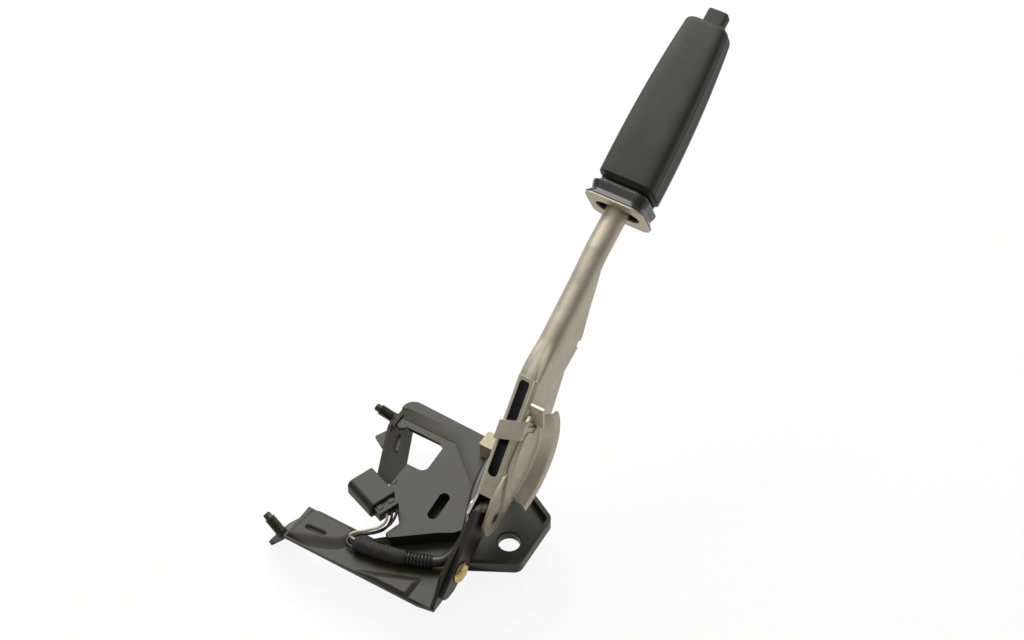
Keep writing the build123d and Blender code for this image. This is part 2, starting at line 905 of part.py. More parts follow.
with BuildPart() as grip:
    for distance, width, height, corner, lift in grip_sections:
        with BuildSketch(grip_plane(distance, lift)):
            RectangleRounded(width, height, corner)
    loft()
    fillet(grip.faces().sort_by(Axis.X)[-1].edges(), radius=3.0)
    # sleeve between the collar and the shell
    with BuildSketch(grip_plane(collar_length)):
        RectangleRounded(36.0, 34.0, 7.0)
    extrude(amount=4.0)
    # seat for the neck, room for the rod and the button's way
    with BuildSketch(grip_plane(0.0)):
        Circle(neck_r)
    extrude(amount=28.0, mode=Mode.SUBTRACT)
    with BuildSketch(grip_plane(20.0)):
        Circle(7.0)
    extrude(amount=cavity_stop - 20.0, mode=Mode.SUBTRACT)
    with BuildSketch(grip_plane(cavity_stop - 10.0)):
        RectangleRounded(button_width + 0.1, button_height + 0.1, 2.4)
    extrude(amount=grip_length, mode=Mode.SUBTRACT)
grip.part.label = "grip"

with BuildPart() as grip_collar:
    for start, width_a, height_a, length, width_b, height_b in (
        (0.0, 45.0, 42.5, 4.0, 40.0, 38.0),
        (4.0, 40.0, 38.0, 4.5, 42.5, 40.0),
    ):
        with BuildSketch(grip_plane(start)):
            RectangleRounded(width_a, height_a, 9.0)
        with BuildSketch(grip_plane(start + length)):
            RectangleRounded(width_b, height_b, 9.0)
        loft()
    with BuildSketch(grip_plane(8.5)):
        RectangleRounded(42.5, 40.0, 9.0)
    extrude(amount=1.6)
    with BuildSketch(grip_plane(10.1)):
        RectangleRounded(37.0, 35.0, 7.5)
    extrude(amount=collar_length - 10.1)
    with BuildSketch(grip_plane(0.0)):
        SlotOverall(33.0, 17.4)
    extrude(amount=8.0, mode=Mode.SUBTRACT)
    with BuildSketch(grip_plane(7.0)):
        Circle(neck_r)
    extrude(amount=6.0, mode=Mode.SUBTRACT)
grip_collar.part.label = "grip_collar"

with BuildPart() as grip_end_plate:
    with BuildSketch(grip_plane(-1.5)):
        RectangleRounded(44.0, 41.0, 8.5)
        SlotOverall(33.0, 17.4, mode=Mode.SUBTRACT)
    extrude(amount=1.5)
grip_end_plate.part.label = "grip_end_plate"

button_back = 20.0
with BuildPart() as push_button:
    with BuildSketch(grip_plane(grip_length - button_back)):
        RectangleRounded(button_width, button_height, 2.4)
    extrude(amount=button_back + button_out)
    fillet(push_button.faces().sort_by(Axis.X)[-1].edges(), radius=1.4)
    with BuildSketch(grip_plane(grip_length - button_back - 1)):
        Circle(rod_r)
    extrude(amount=rod_start - (grip_length - button_back) + 1, mode=Mode.SUBTRACT)
push_button.part.label = "push_button"

# ---------------------------------------------------------------- warning switch
switch_low = (43.0, 28.0, band_top)
plunger_x = 49.5
plunger_y = 31.0
plunger_r = 2.2
striker_z = 54.0
plunger_travel = 3.0
tower_top = striker_z - 0.2 - plunger_travel - 1.0

with BuildPart() as switch_body:
    with BuildSketch(Plane.XY.offset(band_top)):
        with Locations((49.5, 39.5)):
            RectangleRounded(13.0, 23.0, 1.5)
    extrude(amount=13.5)
    with BuildSketch(Plane.XY.offset(band_top)):
        with Locations((plunger_x, plunger_y)):
            Rectangle(10.0, 7.0)
    extrude(amount=tower_top - band_top)
    with BuildSketch(Plane.XY.offset(tower_top)):
        with Locations((plunger_x, plunger_y)):
            Circle(plunger_r + 0.05)
    extrude(amount=-8.0, mode=Mode.SUBTRACT)
switch_body.part.label = "switch_body"

with BuildPart() as switch_plunger:
    with BuildSketch(Plane.XY.offset(tower_top - 8.0 + plunger_travel + 0.2)):
        with Locations((plunger_x, plunger_y)):
            Circle(plunger_r)
    extrude(amount=striker_z - 0.2 - (tower_top - 8.0 + plunger_travel + 0.2))
    fillet(switch_plunger.edges().filter_by(GeomType.CIRCLE).group_by(Axis.Z)[-1], radius=1.0)
switch_plunger.part.label = "switch_plunger"

# ---------------------------------------------------------------- connector
connector_plane = Plane(
    origin=(-24.3, 95.8, recess_top),
    x_dir=(0.347, 0.937, 0),
    z_dir=(0, 0, 1),
)
connector_size = (28.0, 21.0, 11.8)

with BuildPart() as connector_housing:
    with BuildSketch(connector_plane):
        Rectangle(connector_size[0], connector_size[1])
    extrude(amount=connector_size[2])
    long_top = connector_housing.faces().sort_by(Axis.Z)[-1].edges()
    fillet(long_top.sort_by(Axis.X)[0], radius=4.5)
    fillet(connector_housing.edges().filter_by(Axis.Z), radius=1.5)
connector_housing.part.label = "connector_housing"

plug_plane = Plane(
    origin=connector_plane.from_local_coords((-connector_size[0] / 2, 0, 5.2)),
    x_dir=(0, 0, 1),
    z_dir=(-0.347, -0.937, 0),
)
with BuildPart() as connector_plug:
    with BuildSketch(plug_plane):
        Rectangle(8.0, 16.0)
    extrude(amount=7.0)
    with BuildSketch(plug_plane):
        with Locations((0, -4.4), (0, 4.4)):
            Rectangle(9.0, 4.0)
    extrude(amount=4.0)
connector_plug.part.label = "connector_plug"

with BuildPart() as connector_clip:
    with BuildSketch(Plane.XY.offset(recess_bottom - 2.0)):
        with Locations((-22.5, 85.5)):
            Rectangle(16.0, 8.0, rotation=34.0)
    extrude(amount=2.0)
connector_clip.part.label = "connector_clip"


# ---------------------------------------------------------------- harness
def lead(points, radius, bend):
    """Round lead along straight runs and arcs."""
    with BuildPart(mode=Mode.PRIVATE) as run:
        with BuildLine():
            line = FilletPolyline(*points, radius=bend)
        with BuildSketch(Plane(origin=line @ 0, z_dir=line % 0)):
            Circle(radius)
        sweep()
    return run.part


sleeve_z = low_top + sleeve_r
sleeve_points = [
    (-58.5, 86.5, sleeve_z),
    (-57.2, 72.5, sleeve_z),
    (-54.6, 60.0, sleeve_z),
    (-51.6, 50.5, sleeve_z),
]
sleeve_in = (Vector(*sleeve_points[1]) - Vector(*sleeve_points[0])).normalized()
sleeve_out = (Vector(*sleeve_points[-1]) - Vector(*sleeve_points[-2])).normalized()
tube_turn = Vector(*sleeve_points[-1]) + sleeve_out * (ribbed_length + 2.5)
tube_points = [
    sleeve_points[-1],
    (tube_turn.X, tube_turn.Y, tube_turn.Z),
    (-36.0, 24.0, 15.0),
    (-22.0, 21.6, 20.0),
    (-9.0, 26.0, 22.6),
    (9.0, 33.5, 25.6),
    (32.0, 39.0, 27.0),
    (43.0, 39.0, 27.0),
]

with BuildPart() as taped_sleeve:
    add(lead(sleeve_points, sleeve_r, 14.0))
taped_sleeve.part.label = "taped_sleeve"

with BuildPart() as ribbed_tube:
    with BuildLine():
        tube_line = FilletPolyline(*tube_points, radius=7.0)
    with BuildSketch(Plane(origin=tube_line @ 0, z_dir=tube_line % 0)):
        Circle(tube_r)
    sweep()
    with BuildSketch(Plane(origin=tube_line @ 0, z_dir=tube_line % 0)):
        Circle(tube_rib_r)
    extrude(amount=ribbed_length)
ribbed_tube.part.label = "ribbed_tube"

plug_end = -connector_size[0] / 2 - 7.0
plug_out = Vector(-0.347, -0.937, 0)


def wire_points(across, loop, end, reach):
    """Way of one wire from the plug, round its loop, square into the sleeve's end."""
    start = Vector(connector_plane.from_local_coords((plug_end, across, 5.2)))
    turn = start + plug_out * 3.0
    last = Vector(*sleeve_points[0]) + sleeve_side * end[0] + Vector(0, 0, end[1])
    before = last - sleeve_in * reach
    return [
        (start.X, start.Y, start.Z),
        (turn.X, turn.Y, turn.Z),
        *loop,
        (before.X, before.Y, before.Z),
        (last.X, last.Y, last.Z),
    ]


sleeve_side = sleeve_in.cross(Vector(0, 0, 1))
pale_loop = [(-41.0, 75.5, 18.5), (-47.5, 82.0, 17.0), (-55.2, 91.4, 17.0)]
dark_loops = [
    [(-40.5, 72.8, 16.0), (-48.5, 81.0, 14.2), (-52.2, 89.5, 13.0)],
    [(-39.0, 70.5, 20.2), (-46.0, 80.5, 12.4), (-51.5, 93.5, 10.4)],
]

with BuildPart() as pale_wire:
    add(lead(wire_points(3.0, pale_loop, (-1.2, 1.2), 6.0), wire_r, 1.6))
pale_wire.part.label = "pale_wire"

with BuildPart() as dark_wires:
    add(lead(wire_points(-1.0, dark_loops[0], (1.0, -1.2), 5.5), wire_r, 1.6))
    add(lead(wire_points(-5.0, dark_loops[1], (3.4, -1.6), 7.5), wire_r, 1.6))
dark_wires.part.label = "dark_wires"

# ---------------------------------------------------------------- export
pieces = [
    lower_bracket,
    upper_bracket,
    front_stud,
    rear_stud,
    ratchet_sector,
    sector_rivet,
    pivot_bush,
    lever_arm_finished,
    pivot_pin,
    pawl_pin,
    cable_guide_finished,
    guide_rivets,
    pawl,
    release_rod,
    rod_guide,
    rod_collar,
    return_spring,
    grip,
    grip_collar,
    grip_end_plate,
    push_button,
    switch_body,
    switch_plunger,
    connector_housing,
    connector_plug,
    connector_clip,
    taped_sleeve,
    ribbed_tube,
    pale_wire,
    dark_wires,
]
for piece in pieces:
    export_step(piece.part, f"parts/{piece.part.label}.step")
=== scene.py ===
"""Parking brake lever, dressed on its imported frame.

Lengths are in millimetres in the classes and become metres where a mesh is made. The
frame has +X forwards, +Y to the left and +Z up, with its origin in the floor bolt's hole.
"""

import logging
import math
from contextlib import contextmanager
from dataclasses import dataclass
from enum import Enum
from typing import Callable, Iterator

import bmesh
import bpy
import numpy as np
from bpy.types import ID, Material, Mesh, Node, NodeSocket, NodeTree, Object
from mathutils import Matrix, Vector


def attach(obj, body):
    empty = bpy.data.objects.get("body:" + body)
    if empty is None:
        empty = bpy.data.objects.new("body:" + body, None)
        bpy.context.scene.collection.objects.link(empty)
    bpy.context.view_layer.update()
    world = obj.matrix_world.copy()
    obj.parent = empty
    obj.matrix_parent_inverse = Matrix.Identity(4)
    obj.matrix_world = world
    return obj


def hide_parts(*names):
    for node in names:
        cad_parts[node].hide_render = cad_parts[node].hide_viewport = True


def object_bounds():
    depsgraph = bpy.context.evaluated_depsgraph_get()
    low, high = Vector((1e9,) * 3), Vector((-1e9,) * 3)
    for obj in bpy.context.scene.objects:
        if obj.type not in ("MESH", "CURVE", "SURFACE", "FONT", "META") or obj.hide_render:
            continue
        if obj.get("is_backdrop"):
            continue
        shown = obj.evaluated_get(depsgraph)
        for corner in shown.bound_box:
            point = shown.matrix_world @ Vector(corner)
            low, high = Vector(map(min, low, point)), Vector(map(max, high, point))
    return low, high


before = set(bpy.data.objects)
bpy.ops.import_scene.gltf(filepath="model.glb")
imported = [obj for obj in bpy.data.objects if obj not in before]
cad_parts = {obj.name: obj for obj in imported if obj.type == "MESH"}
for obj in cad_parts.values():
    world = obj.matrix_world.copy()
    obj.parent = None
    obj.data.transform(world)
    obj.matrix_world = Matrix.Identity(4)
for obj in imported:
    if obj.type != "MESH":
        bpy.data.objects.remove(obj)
log = logging.getLogger("parking_brake_lever")
Point = tuple[float, float, float]
WHITE = (1, 1, 1, 1)
MM = 0.001
# Corners nearer than this are joined, and faces bent by less than this become one face.
JOIN_MM = 0.002
FLAT_DEGREES = 0.6
# A fold is sharper and longer than this.
FOLD_DEGREES = 40
FOLD_MM = 8


class Body(Enum):
    """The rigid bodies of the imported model."""

    BRACKET = "bracket"
    LEVER = "lever"
    BUTTON = "button"
    PAWL = "pawl"
    PLUNGER = "plunger"


# Small helpers
def linear(colour: str) -> tuple[float, float, float, float]:
    """Turns an sRGB hex value into linear light.

    Args:
        colour: Six hex digits after a hash sign.

    Returns:
        Red, green, blue and an alpha of 1.
    """
    parts = [int(colour[i : i + 2], 16) / 255 for i in (1, 3, 5)]
    low = [c / 12.92 if c <= 0.04045 else ((c + 0.055) / 1.055) ** 2.4 for c in parts]
    return (low[0], low[1], low[2], 1.0)


def add_object(name: str, data: ID) -> Object:
    """Puts an object with this data into the scene."""
    thing = bpy.data.objects.new(name, data)
    bpy.context.scene.collection.objects.link(thing)
    return thing


def fresh_tree(owner: ID) -> NodeTree:
    """Turns nodes on for a material or a world and gives its emptied tree."""
    owner.use_nodes = True
    owner.node_tree.nodes.clear()
    return owner.node_tree


def add_node(
    tree: NodeTree,
    kind: str,
    settings: dict | None = None,
    links: dict | None = None,
) -> Node:
    """Adds a node with its settings and links.

    Args:
        tree: Node tree that gets the node.
        kind: Blender's name for the kind of node, without the word ShaderNode before it.
        settings: Values for the node's properties, or for its inputs where it has none of
            that name.
        links: Output sockets that go into the inputs of these names or numbers.

    Returns:
        The new node.
    """
    node = tree.nodes.new(f"ShaderNode{kind}")
    for name, value in (settings or {}).items():
        if isinstance(name, str) and hasattr(node, name):
            setattr(node, name, value)
        else:
            node.inputs[name].default_value = value
    for name, socket in (links or {}).items():
        tree.links.new(socket, node.inputs[name])
    return node


def ramp(tree: NodeTree, factor: NodeSocket, stops: list[tuple[float, tuple]]) -> Node:
    """Adds a colour ramp.

    Args:
        tree: Node tree that gets the ramp.
        factor: Socket that runs along the ramp.
        stops: Place and linear colour of each stop.

    Returns:
        The ramp's node.
    """
    node = add_node(tree, "ValToRGB", links={"Fac": factor})
    while len(node.color_ramp.elements) < len(stops):
        node.color_ramp.elements.new(0.5)
    for element, (place, colour) in zip(node.color_ramp.elements, stops):
        element.position = place
        element.color = colour
    return node


# Finishes
@dataclass(frozen=True)
class Finish:
    """A surface made from a base colour that drifts, with grain in its gloss and its relief.

    Attributes:
        name: Common name of the material and of how its surface was made.
        colour: Main colour in sRGB.
        shade: Darker colour of the drift in sRGB.
        metallic: 1 for bare metal.
        roughness: Middle roughness.
        spread: How far the roughness moves to either side.
        patch_mm: Size of the drift's patches.
        grain_mm: Size of the grain.
        stretch: How much longer the grain is along X, Y and Z.
        relief_mm: Height of the grain.
        specular: Specular level of a non-metal.
    """

    name: str
    colour: str
    shade: str
    metallic: float = 0.0
    roughness: float = 0.45
    spread: float = 0.06
    patch_mm: float = 18.0
    grain_mm: float = 0.6
    stretch: Point = (1.0, 1.0, 1.0)
    relief_mm: float = 0.01
    specular: float = 0.5

    def build(self) -> Material:
        """Makes the material, or gives the one made before."""
        if self.name in bpy.data.materials:
            return bpy.data.materials[self.name]
        material = bpy.data.materials.new(self.name)
        tree = fresh_tree(material)
        place = add_node(tree, "TexCoord").outputs["Object"]
        patches = add_node(
            tree,
            "TexNoise",
            {"Scale": 1 / (self.patch_mm * MM), "Detail": 3.0, "Roughness": 0.55},
            {"Vector": place},
        )
        drawn = add_node(
            tree, "Mapping", {"Scale": tuple(1 / s for s in self.stretch)}, {"Vector": place}
        )
        grain = add_node(
            tree,
            "TexNoise",
            {"Scale": 1 / (self.grain_mm * MM), "Detail": 2.0, "Roughness": 0.6},
            {"Vector": drawn.outputs["Vector"]},
        )
        drift = self.mixed(tree, patches.outputs["Fac"], grain.outputs["Fac"])
        tint = ramp(tree, drift, [(0.38, linear(self.shade)), (0.62, linear(self.colour))])
        gloss = add_node(
            tree,
            "MapRange",
            {"To Min": self.roughness - self.spread, "To Max": self.roughness + self.spread},
            {"Value": drift},
        )
        bump = add_node(
            tree,
            "Bump",
            {"Strength": 1.0, "Distance": self.relief_mm * MM},
            {"Height": grain.outputs["Fac"]},
        )
        shader = add_node(
            tree,
            "BsdfPrincipled",
            {"Metallic": self.metallic, "Specular IOR Level": self.specular},
            {
                "Base Color": tint.outputs["Color"],
                "Roughness": gloss.outputs["Result"],
                "Normal": bump.outputs["Normal"],
            },
        )
        add_node(tree, "OutputMaterial", links={"Surface": shader.outputs["BSDF"]})
        return material

    def mixed(self, tree: NodeTree, broad: NodeSocket, fine: NodeSocket) -> NodeSocket:
        """Averages the broad drift and the fine grain."""
        both = add_node(tree, "Math", {"operation": "ADD"}, {0: broad, 1: fine})
        half = add_node(tree, "Math", {"operation": "MULTIPLY", 1: 0.5}, {0: both.outputs[0]})
        return half.outputs[0]


# Steel sheet under black electrocoat: thin, even paint with a soft olive sheen.
ELECTROCOAT = Finish(
    "electrocoated_steel_sheet",
    colour="#31311f",
    shade="#282819",
    roughness=0.42,
    spread=0.05,
    patch_mm=30,
    grain_mm=0.9,
    relief_mm=0.008,
    specular=0.3,
)
# Steel sheet, zinc plated and passivated: warm grey, satin, drawn along the part.
ZINC_SHEET = Finish(
    "zinc_plated_steel_sheet",
    colour="#cbc1ae",
    shade="#b5ab98",
    metallic=0.8,
    roughness=0.51,
    spread=0.07,
    patch_mm=14,
    grain_mm=0.35,
    stretch=(3.0, 1.0, 3.0),
    relief_mm=0.012,
)
# Painted shade for the inside of the channel: zinc darkened almost to black where shade falls
# deep in it.
PAINTED_CHANNEL_SHADE = Finish(
    "painted_shade_channel_inside",
    colour="#171613",
    shade="#0d0c0b",
    metallic=0.2,
    roughness=0.62,
    patch_mm=6,
    relief_mm=0.02,
    specular=0.05,
)
# Hardened steel plate with a dark phosphate layer, a little mottled.
PHOSPHATE = Finish(
    "phosphated_hard_steel",
    colour="#3c3b32",
    shade="#292823",
    metallic=0.3,
    roughness=0.48,
    patch_mm=9,
    grain_mm=0.4,
)
# Cold-rolled threads under a dark film: brownish black with bright crests.
THREAD = Finish(
    "blackened_steel_thread",
    colour="#4c4638",
    shade="#26241e",
    metallic=0.6,
    roughness=0.42,
    patch_mm=4,
    grain_mm=0.4,
)
# Rivet under yellow zinc: gold with brown patches.
YELLOW_ZINC = Finish(
    "yellow_zinc_plated_rivet",
    colour="#d8b978",
    shade="#7d6437",
    metallic=0.95,
    roughness=0.30,
    spread=0.08,
    patch_mm=5,
    grain_mm=0.5,
)
BRIGHT_STEEL = Finish(
    "ground_steel_pin",
    colour="#a8a6a0",
    shade="#8f8d88",
    metallic=0.95,
    roughness=0.30,
    patch_mm=8,
    grain_mm=0.3,
    relief_mm=0.005,
)
BRONZE = Finish(
    "oiled_bronze_bush",
    colour="#8a7147",
    shade="#6b5533",
    metallic=0.9,
    roughness=0.38,
    patch_mm=5,
    relief_mm=0.006,
)
# Polypropylene moulded in a spark-eroded tool: satin black with a very fine grain.
GRIP_PLASTIC = Finish(
    "moulded_polypropylene_grip",
    colour="#484841",
    shade="#40403a",
    roughness=0.46,
    spread=0.03,
    patch_mm=22,
    grain_mm=0.45,
    relief_mm=0.012,
    specular=0.14,
)
# The collar under the grip: the same plastic from a polished tool.
COLLAR_PLASTIC = Finish(
    "polished_polypropylene_collar",
    colour="#2d2d28",
    shade="#262622",
    roughness=0.27,
    spread=0.03,
    patch_mm=20,
    relief_mm=0.004,
)
CONNECTOR_PLASTIC = Finish(
    "moulded_nylon_connector",
    colour="#2a2a22",
    shade="#22221c",
    roughness=0.42,
    specular=0.3,
    spread=0.04,
    patch_mm=10,
    grain_mm=0.5,
    relief_mm=0.008,
)
IVORY_PLASTIC = Finish(
    "moulded_ivory_nylon",
    colour="#bab392",
    shade="#a19875",
    roughness=0.48,
    spread=0.04,
    patch_mm=7,
    grain_mm=0.5,
)
CREAM_PVC = Finish(
    "extruded_cream_pvc",
    colour="#d8d6b4",
    shade="#b9b793",
    roughness=0.38,
    patch_mm=6,
    grain_mm=0.4,
    relief_mm=0.004,
)
BLACK_PVC = Finish(
    "extruded_black_pvc",
    colour="#25241f",
    shade="#1d1c19",
    roughness=0.36,
    patch_mm=6,
    grain_mm=0.4,
    relief_mm=0.004,
)
CLOTH_TAPE = Finish(
    "woven_cotton_tape",
    colour="#22211c",
    shade="#151411",
    roughness=0.70,
    spread=0.08,
    patch_mm=3,
    grain_mm=0.5,
    relief_mm=0.05,
)
BLACK_TUBE = Finish(
    "corrugated_polyethylene_tube",
    colour="#262622",
    shade="#1d1d1a",
    roughness=0.36,
    patch_mm=8,
    grain_mm=0.5,
    relief_mm=0.005,
)


# Meshes
def place_piece(
    mesh: Mesh,
    name: str,
    body: Body,
    finish: Finish,
    node: str,
    stands_for_it: bool = True,
) -> Object:
    """Puts a finished mesh into the scene, on its body and in place of its CAD node.

    Args:
        mesh: Mesh with its place in its vertices, in metres.
        name: Name of the piece.
        body: Body that carries it.
        finish: What it is made of.
        node: CAD node that it belongs to, which is hidden when the piece stands for it.
        stands_for_it: Whether it replaces that node, or only adds to it.

    Returns:
        The new object.
    """
    piece = add_object(name, mesh)
    mesh.materials.clear()
    mesh.materials.append(finish.build())
    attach(piece, body.value)
    if stands_for_it:
        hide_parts(node)
    log.info("%s rides on %s", name, body.value)
    return piece


@contextmanager
def edited(mesh: Mesh) -> Iterator[bmesh.types.BMesh]:
    """Opens a mesh for editing and writes the changes back."""
    shape = bmesh.new()
    shape.from_mesh(mesh)
    yield shape
    shape.to_mesh(mesh)
    shape.free()


def closed_mesh(name: str, points: np.ndarray, faces: list, smooth: bool = True) -> Mesh:
    """Makes a closed mesh with its faces outwards.

    Args:
        name: Name of the mesh.
        points: One point in each row, in millimetres.
        faces: Numbers of each face's points.
        smooth: Whether its faces are shaded smooth.

    Returns:
        The mesh, in metres.
    """
    mesh = bpy.data.meshes.new(name)
    mesh.from_pydata((points * MM).tolist(), [], faces)
    with edited(mesh) as shape:
        bmesh.ops.recalc_face_normals(shape, faces=shape.faces)
    mesh.polygons.foreach_set("use_smooth", np.full(len(mesh.polygons), smooth))
    return mesh


def grid_mesh(name: str, points: np.ndarray, closed: bool, capped: bool) -> Mesh:
    """Makes a mesh from a grid of points.

    Args:
        name: Name of the mesh.
        points: Array of rows, columns and coordinates, in millimetres.
        closed: Whether the last column joins the first.
        capped: Whether the first and the last row are filled with one face each.

    Returns:
        The mesh, in metres, shaded smooth, with its faces outwards.
    """
    rows, columns = points.shape[:2]
    index = np.arange(rows * columns).reshape(rows, columns)
    right = np.roll(index, -1, axis=1)
    keep = slice(None) if closed else slice(0, -1)
    quads = np.stack(
        [index[:-1, keep], right[:-1, keep], right[1:, keep], index[1:, keep]], axis=-1
    ).reshape(-1, 4)
    faces = quads.tolist()
    if capped:
        faces.append(index[0][::-1].tolist())
        faces.append(index[-1].tolist())
    return closed_mesh(name, points.reshape(-1, 3), faces)


def squared(value: np.ndarray, power: float | np.ndarray) -> np.ndarray:
    """Turns a circle's sine or cosine into a superellipse's of this power.

    Its size is raised to two over the power, and its sign stays.
    """
    return np.sign(value) * np.abs(value) ** (2 / power)


def lathe(
    name: str, profile: list[tuple[float, float]], origin: tuple, axis: tuple, count: int = 64
) -> Mesh:
    """Turns a profile round an axis: each point at (radius, height) sweeps a full circle.

    Args:
        name: Name of the mesh.
        profile: Radius and height of each point, from one end to the other.
        origin: Point on the axis at height zero.
        axis: Direction of the axis.
        count: Points in the circle.

    Returns:
        The mesh.
    """
    along = np.array(axis, float) / np.linalg.norm(axis)
    side = np.cross(along, (1.0, 0.0, 0.0) if abs(along[0]) < 0.9 else (0.0, 1.0, 0.0))
    side /= np.linalg.norm(side)
    up = np.cross(along, side)
    radius, height = np.array(profile, float).T
    turn = np.linspace(0, 2 * math.pi, count, endpoint=False)
    ring = np.cos(turn)[:, None] * side + np.sin(turn)[:, None] * up
    points = (
        np.array(origin, float)
        + radius[:, None, None] * ring[None]
        + height[:, None, None] * along
    )
    return grid_mesh(name, points, closed=True, capped=True)


def route(points: list[Point], steps: int = 24) -> np.ndarray:
    """Reads a smooth line that has the given points as its control points.

    Args:
        points: Control points in millimetres.
        steps: Points read for each span.

    Returns:
        Points along the line, in millimetres.
    """
    curve = bpy.data.curves.new("route", "CURVE")
    curve.dimensions = "3D"
    curve.resolution_u = steps
    spline = curve.splines.new("NURBS")
    spline.points.add(len(points) - 1)
    spline.points.foreach_set("co", np.c_[np.array(points, float), np.ones(len(points))].ravel())
    spline.order_u = 3
    spline.use_endpoint_u = True
    holder = bpy.data.objects.new("route", curve)
    mesh = bpy.data.meshes.new_from_object(holder)
    line = np.empty(len(mesh.vertices) * 3)
    mesh.vertices.foreach_get("co", line)
    bpy.data.objects.remove(holder)
    bpy.data.curves.remove(curve)
    bpy.data.meshes.remove(mesh)
    return line.reshape(-1, 3)


def lengths(line: np.ndarray) -> np.ndarray:
    """Gives the distance along a line to each of its points."""
    return np.r_[0, np.cumsum(np.linalg.norm(np.diff(line, axis=0), axis=1))]


def walk(line: np.ndarray, s: np.ndarray) -> tuple[np.ndarray, np.ndarray]:
    """Gives the places and the directions on a line at the distances s."""
    centre = np.stack([np.interp(s, lengths(line), line[:, i]) for i in range(3)], axis=1)
    along = np.gradient(centre, axis=0)
    return centre, along / np.linalg.norm(along, axis=1)[:, None]


def smooth_step(share: np.ndarray) -> np.ndarray:
    """Eases a share of 0 to 1 in and out: three times its square less twice its cube."""
    return share**2 * (3 - 2 * share)


def along_line(
    name: str, line: np.ndarray, radius: Callable, step: float, sides: int = 32
) -> Mesh:
    """Carries a round section along a line.

    At each length s the section is a circle in the plane of two vectors square to the line:
    the first is the line's direction crossed with up, the second is square to both. The
    radius depends on s and on the angle.

    Args:
        name: Name of the mesh.
        line: Points along the line in millimetres.
        radius: Takes lengths and angles as arrays and gives radii in millimetres.
        step: Distance between two sections.
        sides: Points in each section.

    Returns:
        The closed mesh.
    """
    whole = lengths(line)[-1]
    s = np.linspace(0, whole, max(4, int(whole / step)))
    centre, along = walk(line, s)
    side = np.cross(along, (0.0, 0.0, 1.0))
    side /= np.linalg.norm(side, axis=1)[:, None]
    up = np.cross(side, along)
    turn = np.linspace(0, 2 * math.pi, sides, endpoint=False)
    grid_s, grid_t = np.meshgrid(s, turn, indexing="ij")
    r = radius(grid_s, grid_t)[..., None]
    ring = np.cos(turn)[None, :, None] * side[:, None] + np.sin(turn)[None, :, None] * up[:, None]
    return grid_mesh(name, centre[:, None] + r * ring, closed=True, capped=True)


def round_folds(shape: bmesh.types.BMesh, width: float, sheet: float = 4.2) -> None:
    """Rounds the outer edges along which the sheet is folded.

    A fold is a sharp outward edge between two faces that are both wider than the sheet is
    thick. A face's width is its area over the edge's length. Folds that meet are rounded
    together.

    Args:
        shape: Mesh with flat areas as single faces, in metres.
        width: Width of the rounding in millimetres.
        sheet: Width in millimetres from which a face is no cut edge.
    """
    folds = [
        edge
        for edge in shape.edges
        if len(edge.link_faces) == 2
        and edge.is_convex
        and edge.calc_face_angle() > math.radians(FOLD_DEGREES)
        and edge.calc_length() > FOLD_MM * MM
        and all(f.calc_area() / edge.calc_length() > sheet * MM for f in edge.link_faces)
    ]
    while folds:
        chain = [folds.pop()]
        for edge in chain:
            ends = set(edge.verts)
            chain += [other for other in folds if ends & set(other.verts)]
            folds = [other for other in folds if other not in chain]
        bmesh.ops.bevel(
            shape,
            geom=chain,
            offset=width * MM,
            offset_type="OFFSET",
            segments=5,
            profile=0.5,
            affect="EDGES",
            clamp_overlap=True,
        )
        folds = [edge for edge in folds if edge.is_valid]


def level_normals(piece: Object, weight: int) -> None:
    """Lets a piece's large faces look flat beside its rounded edges."""
    piece.modifiers.new("level normals", "WEIGHTED_NORMAL").weight = weight


def softened(
    node: str,
    finish: Finish,
    body: Body,
    bevel: float,
    angle: float = 28.0,
    fold: float = 0.0,
) -> Object:
    """Copies a CAD node, joins its loose triangles and rounds its sharp edges.

    Args:
        node: CAD node that the copy replaces.
        finish: What it is made of.
        body: Body that carries it.
        bevel: Width of the rounding in millimetres.
        angle: Edges sharper than this many degrees are rounded.
        fold: Width of the rounding along folds in millimetres.

    Returns:
        The rounded copy.
    """
    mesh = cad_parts[node].data.copy()
    with edited(mesh) as shape:
        bmesh.ops.remove_doubles(shape, verts=shape.verts, dist=JOIN_MM * MM)
        bmesh.ops.dissolve_limit(
            shape, angle_limit=math.radians(FLAT_DEGREES), verts=shape.verts, edges=shape.edges
        )
        if fold:
            round_folds(shape, fold)
    mesh.polygons.foreach_set("use_smooth", np.ones(len(mesh.polygons), dtype=bool))
    piece = place_piece(mesh, f"{node}_finished", body, finish, node)
    rounding = piece.modifiers.new("rounded edges", "BEVEL")
    rounding.width = bevel * MM
    rounding.segments = 3
    rounding.limit_method = "ANGLE"
    rounding.angle_limit = math.radians(angle)
    rounding.use_clamp_overlap = True
    level_normals(piece, 90)
    return piece


def paint_faces(piece: Object, finish: Finish, chosen: Callable) -> None:
    """Gives the chosen faces of a piece a second finish.

    Args:
        piece: Piece to paint.
        finish: Second finish.
        chosen: Takes the faces' middles in millimetres and their normals, and tells which
            faces to paint.
    """
    mesh = piece.data
    mesh.materials.append(finish.build())
    count = len(mesh.polygons)
    centre = np.empty(count * 3)
    normal = np.empty(count * 3)
    mesh.polygons.foreach_get("center", centre)
    mesh.polygons.foreach_get("normal", normal)
    mask = chosen(centre.reshape(-1, 3) / MM, normal.reshape(-1, 3))
    index = np.where(mask, len(mesh.materials) - 1, 0).astype(np.int32)
    mesh.polygons.foreach_set("material_index", index)


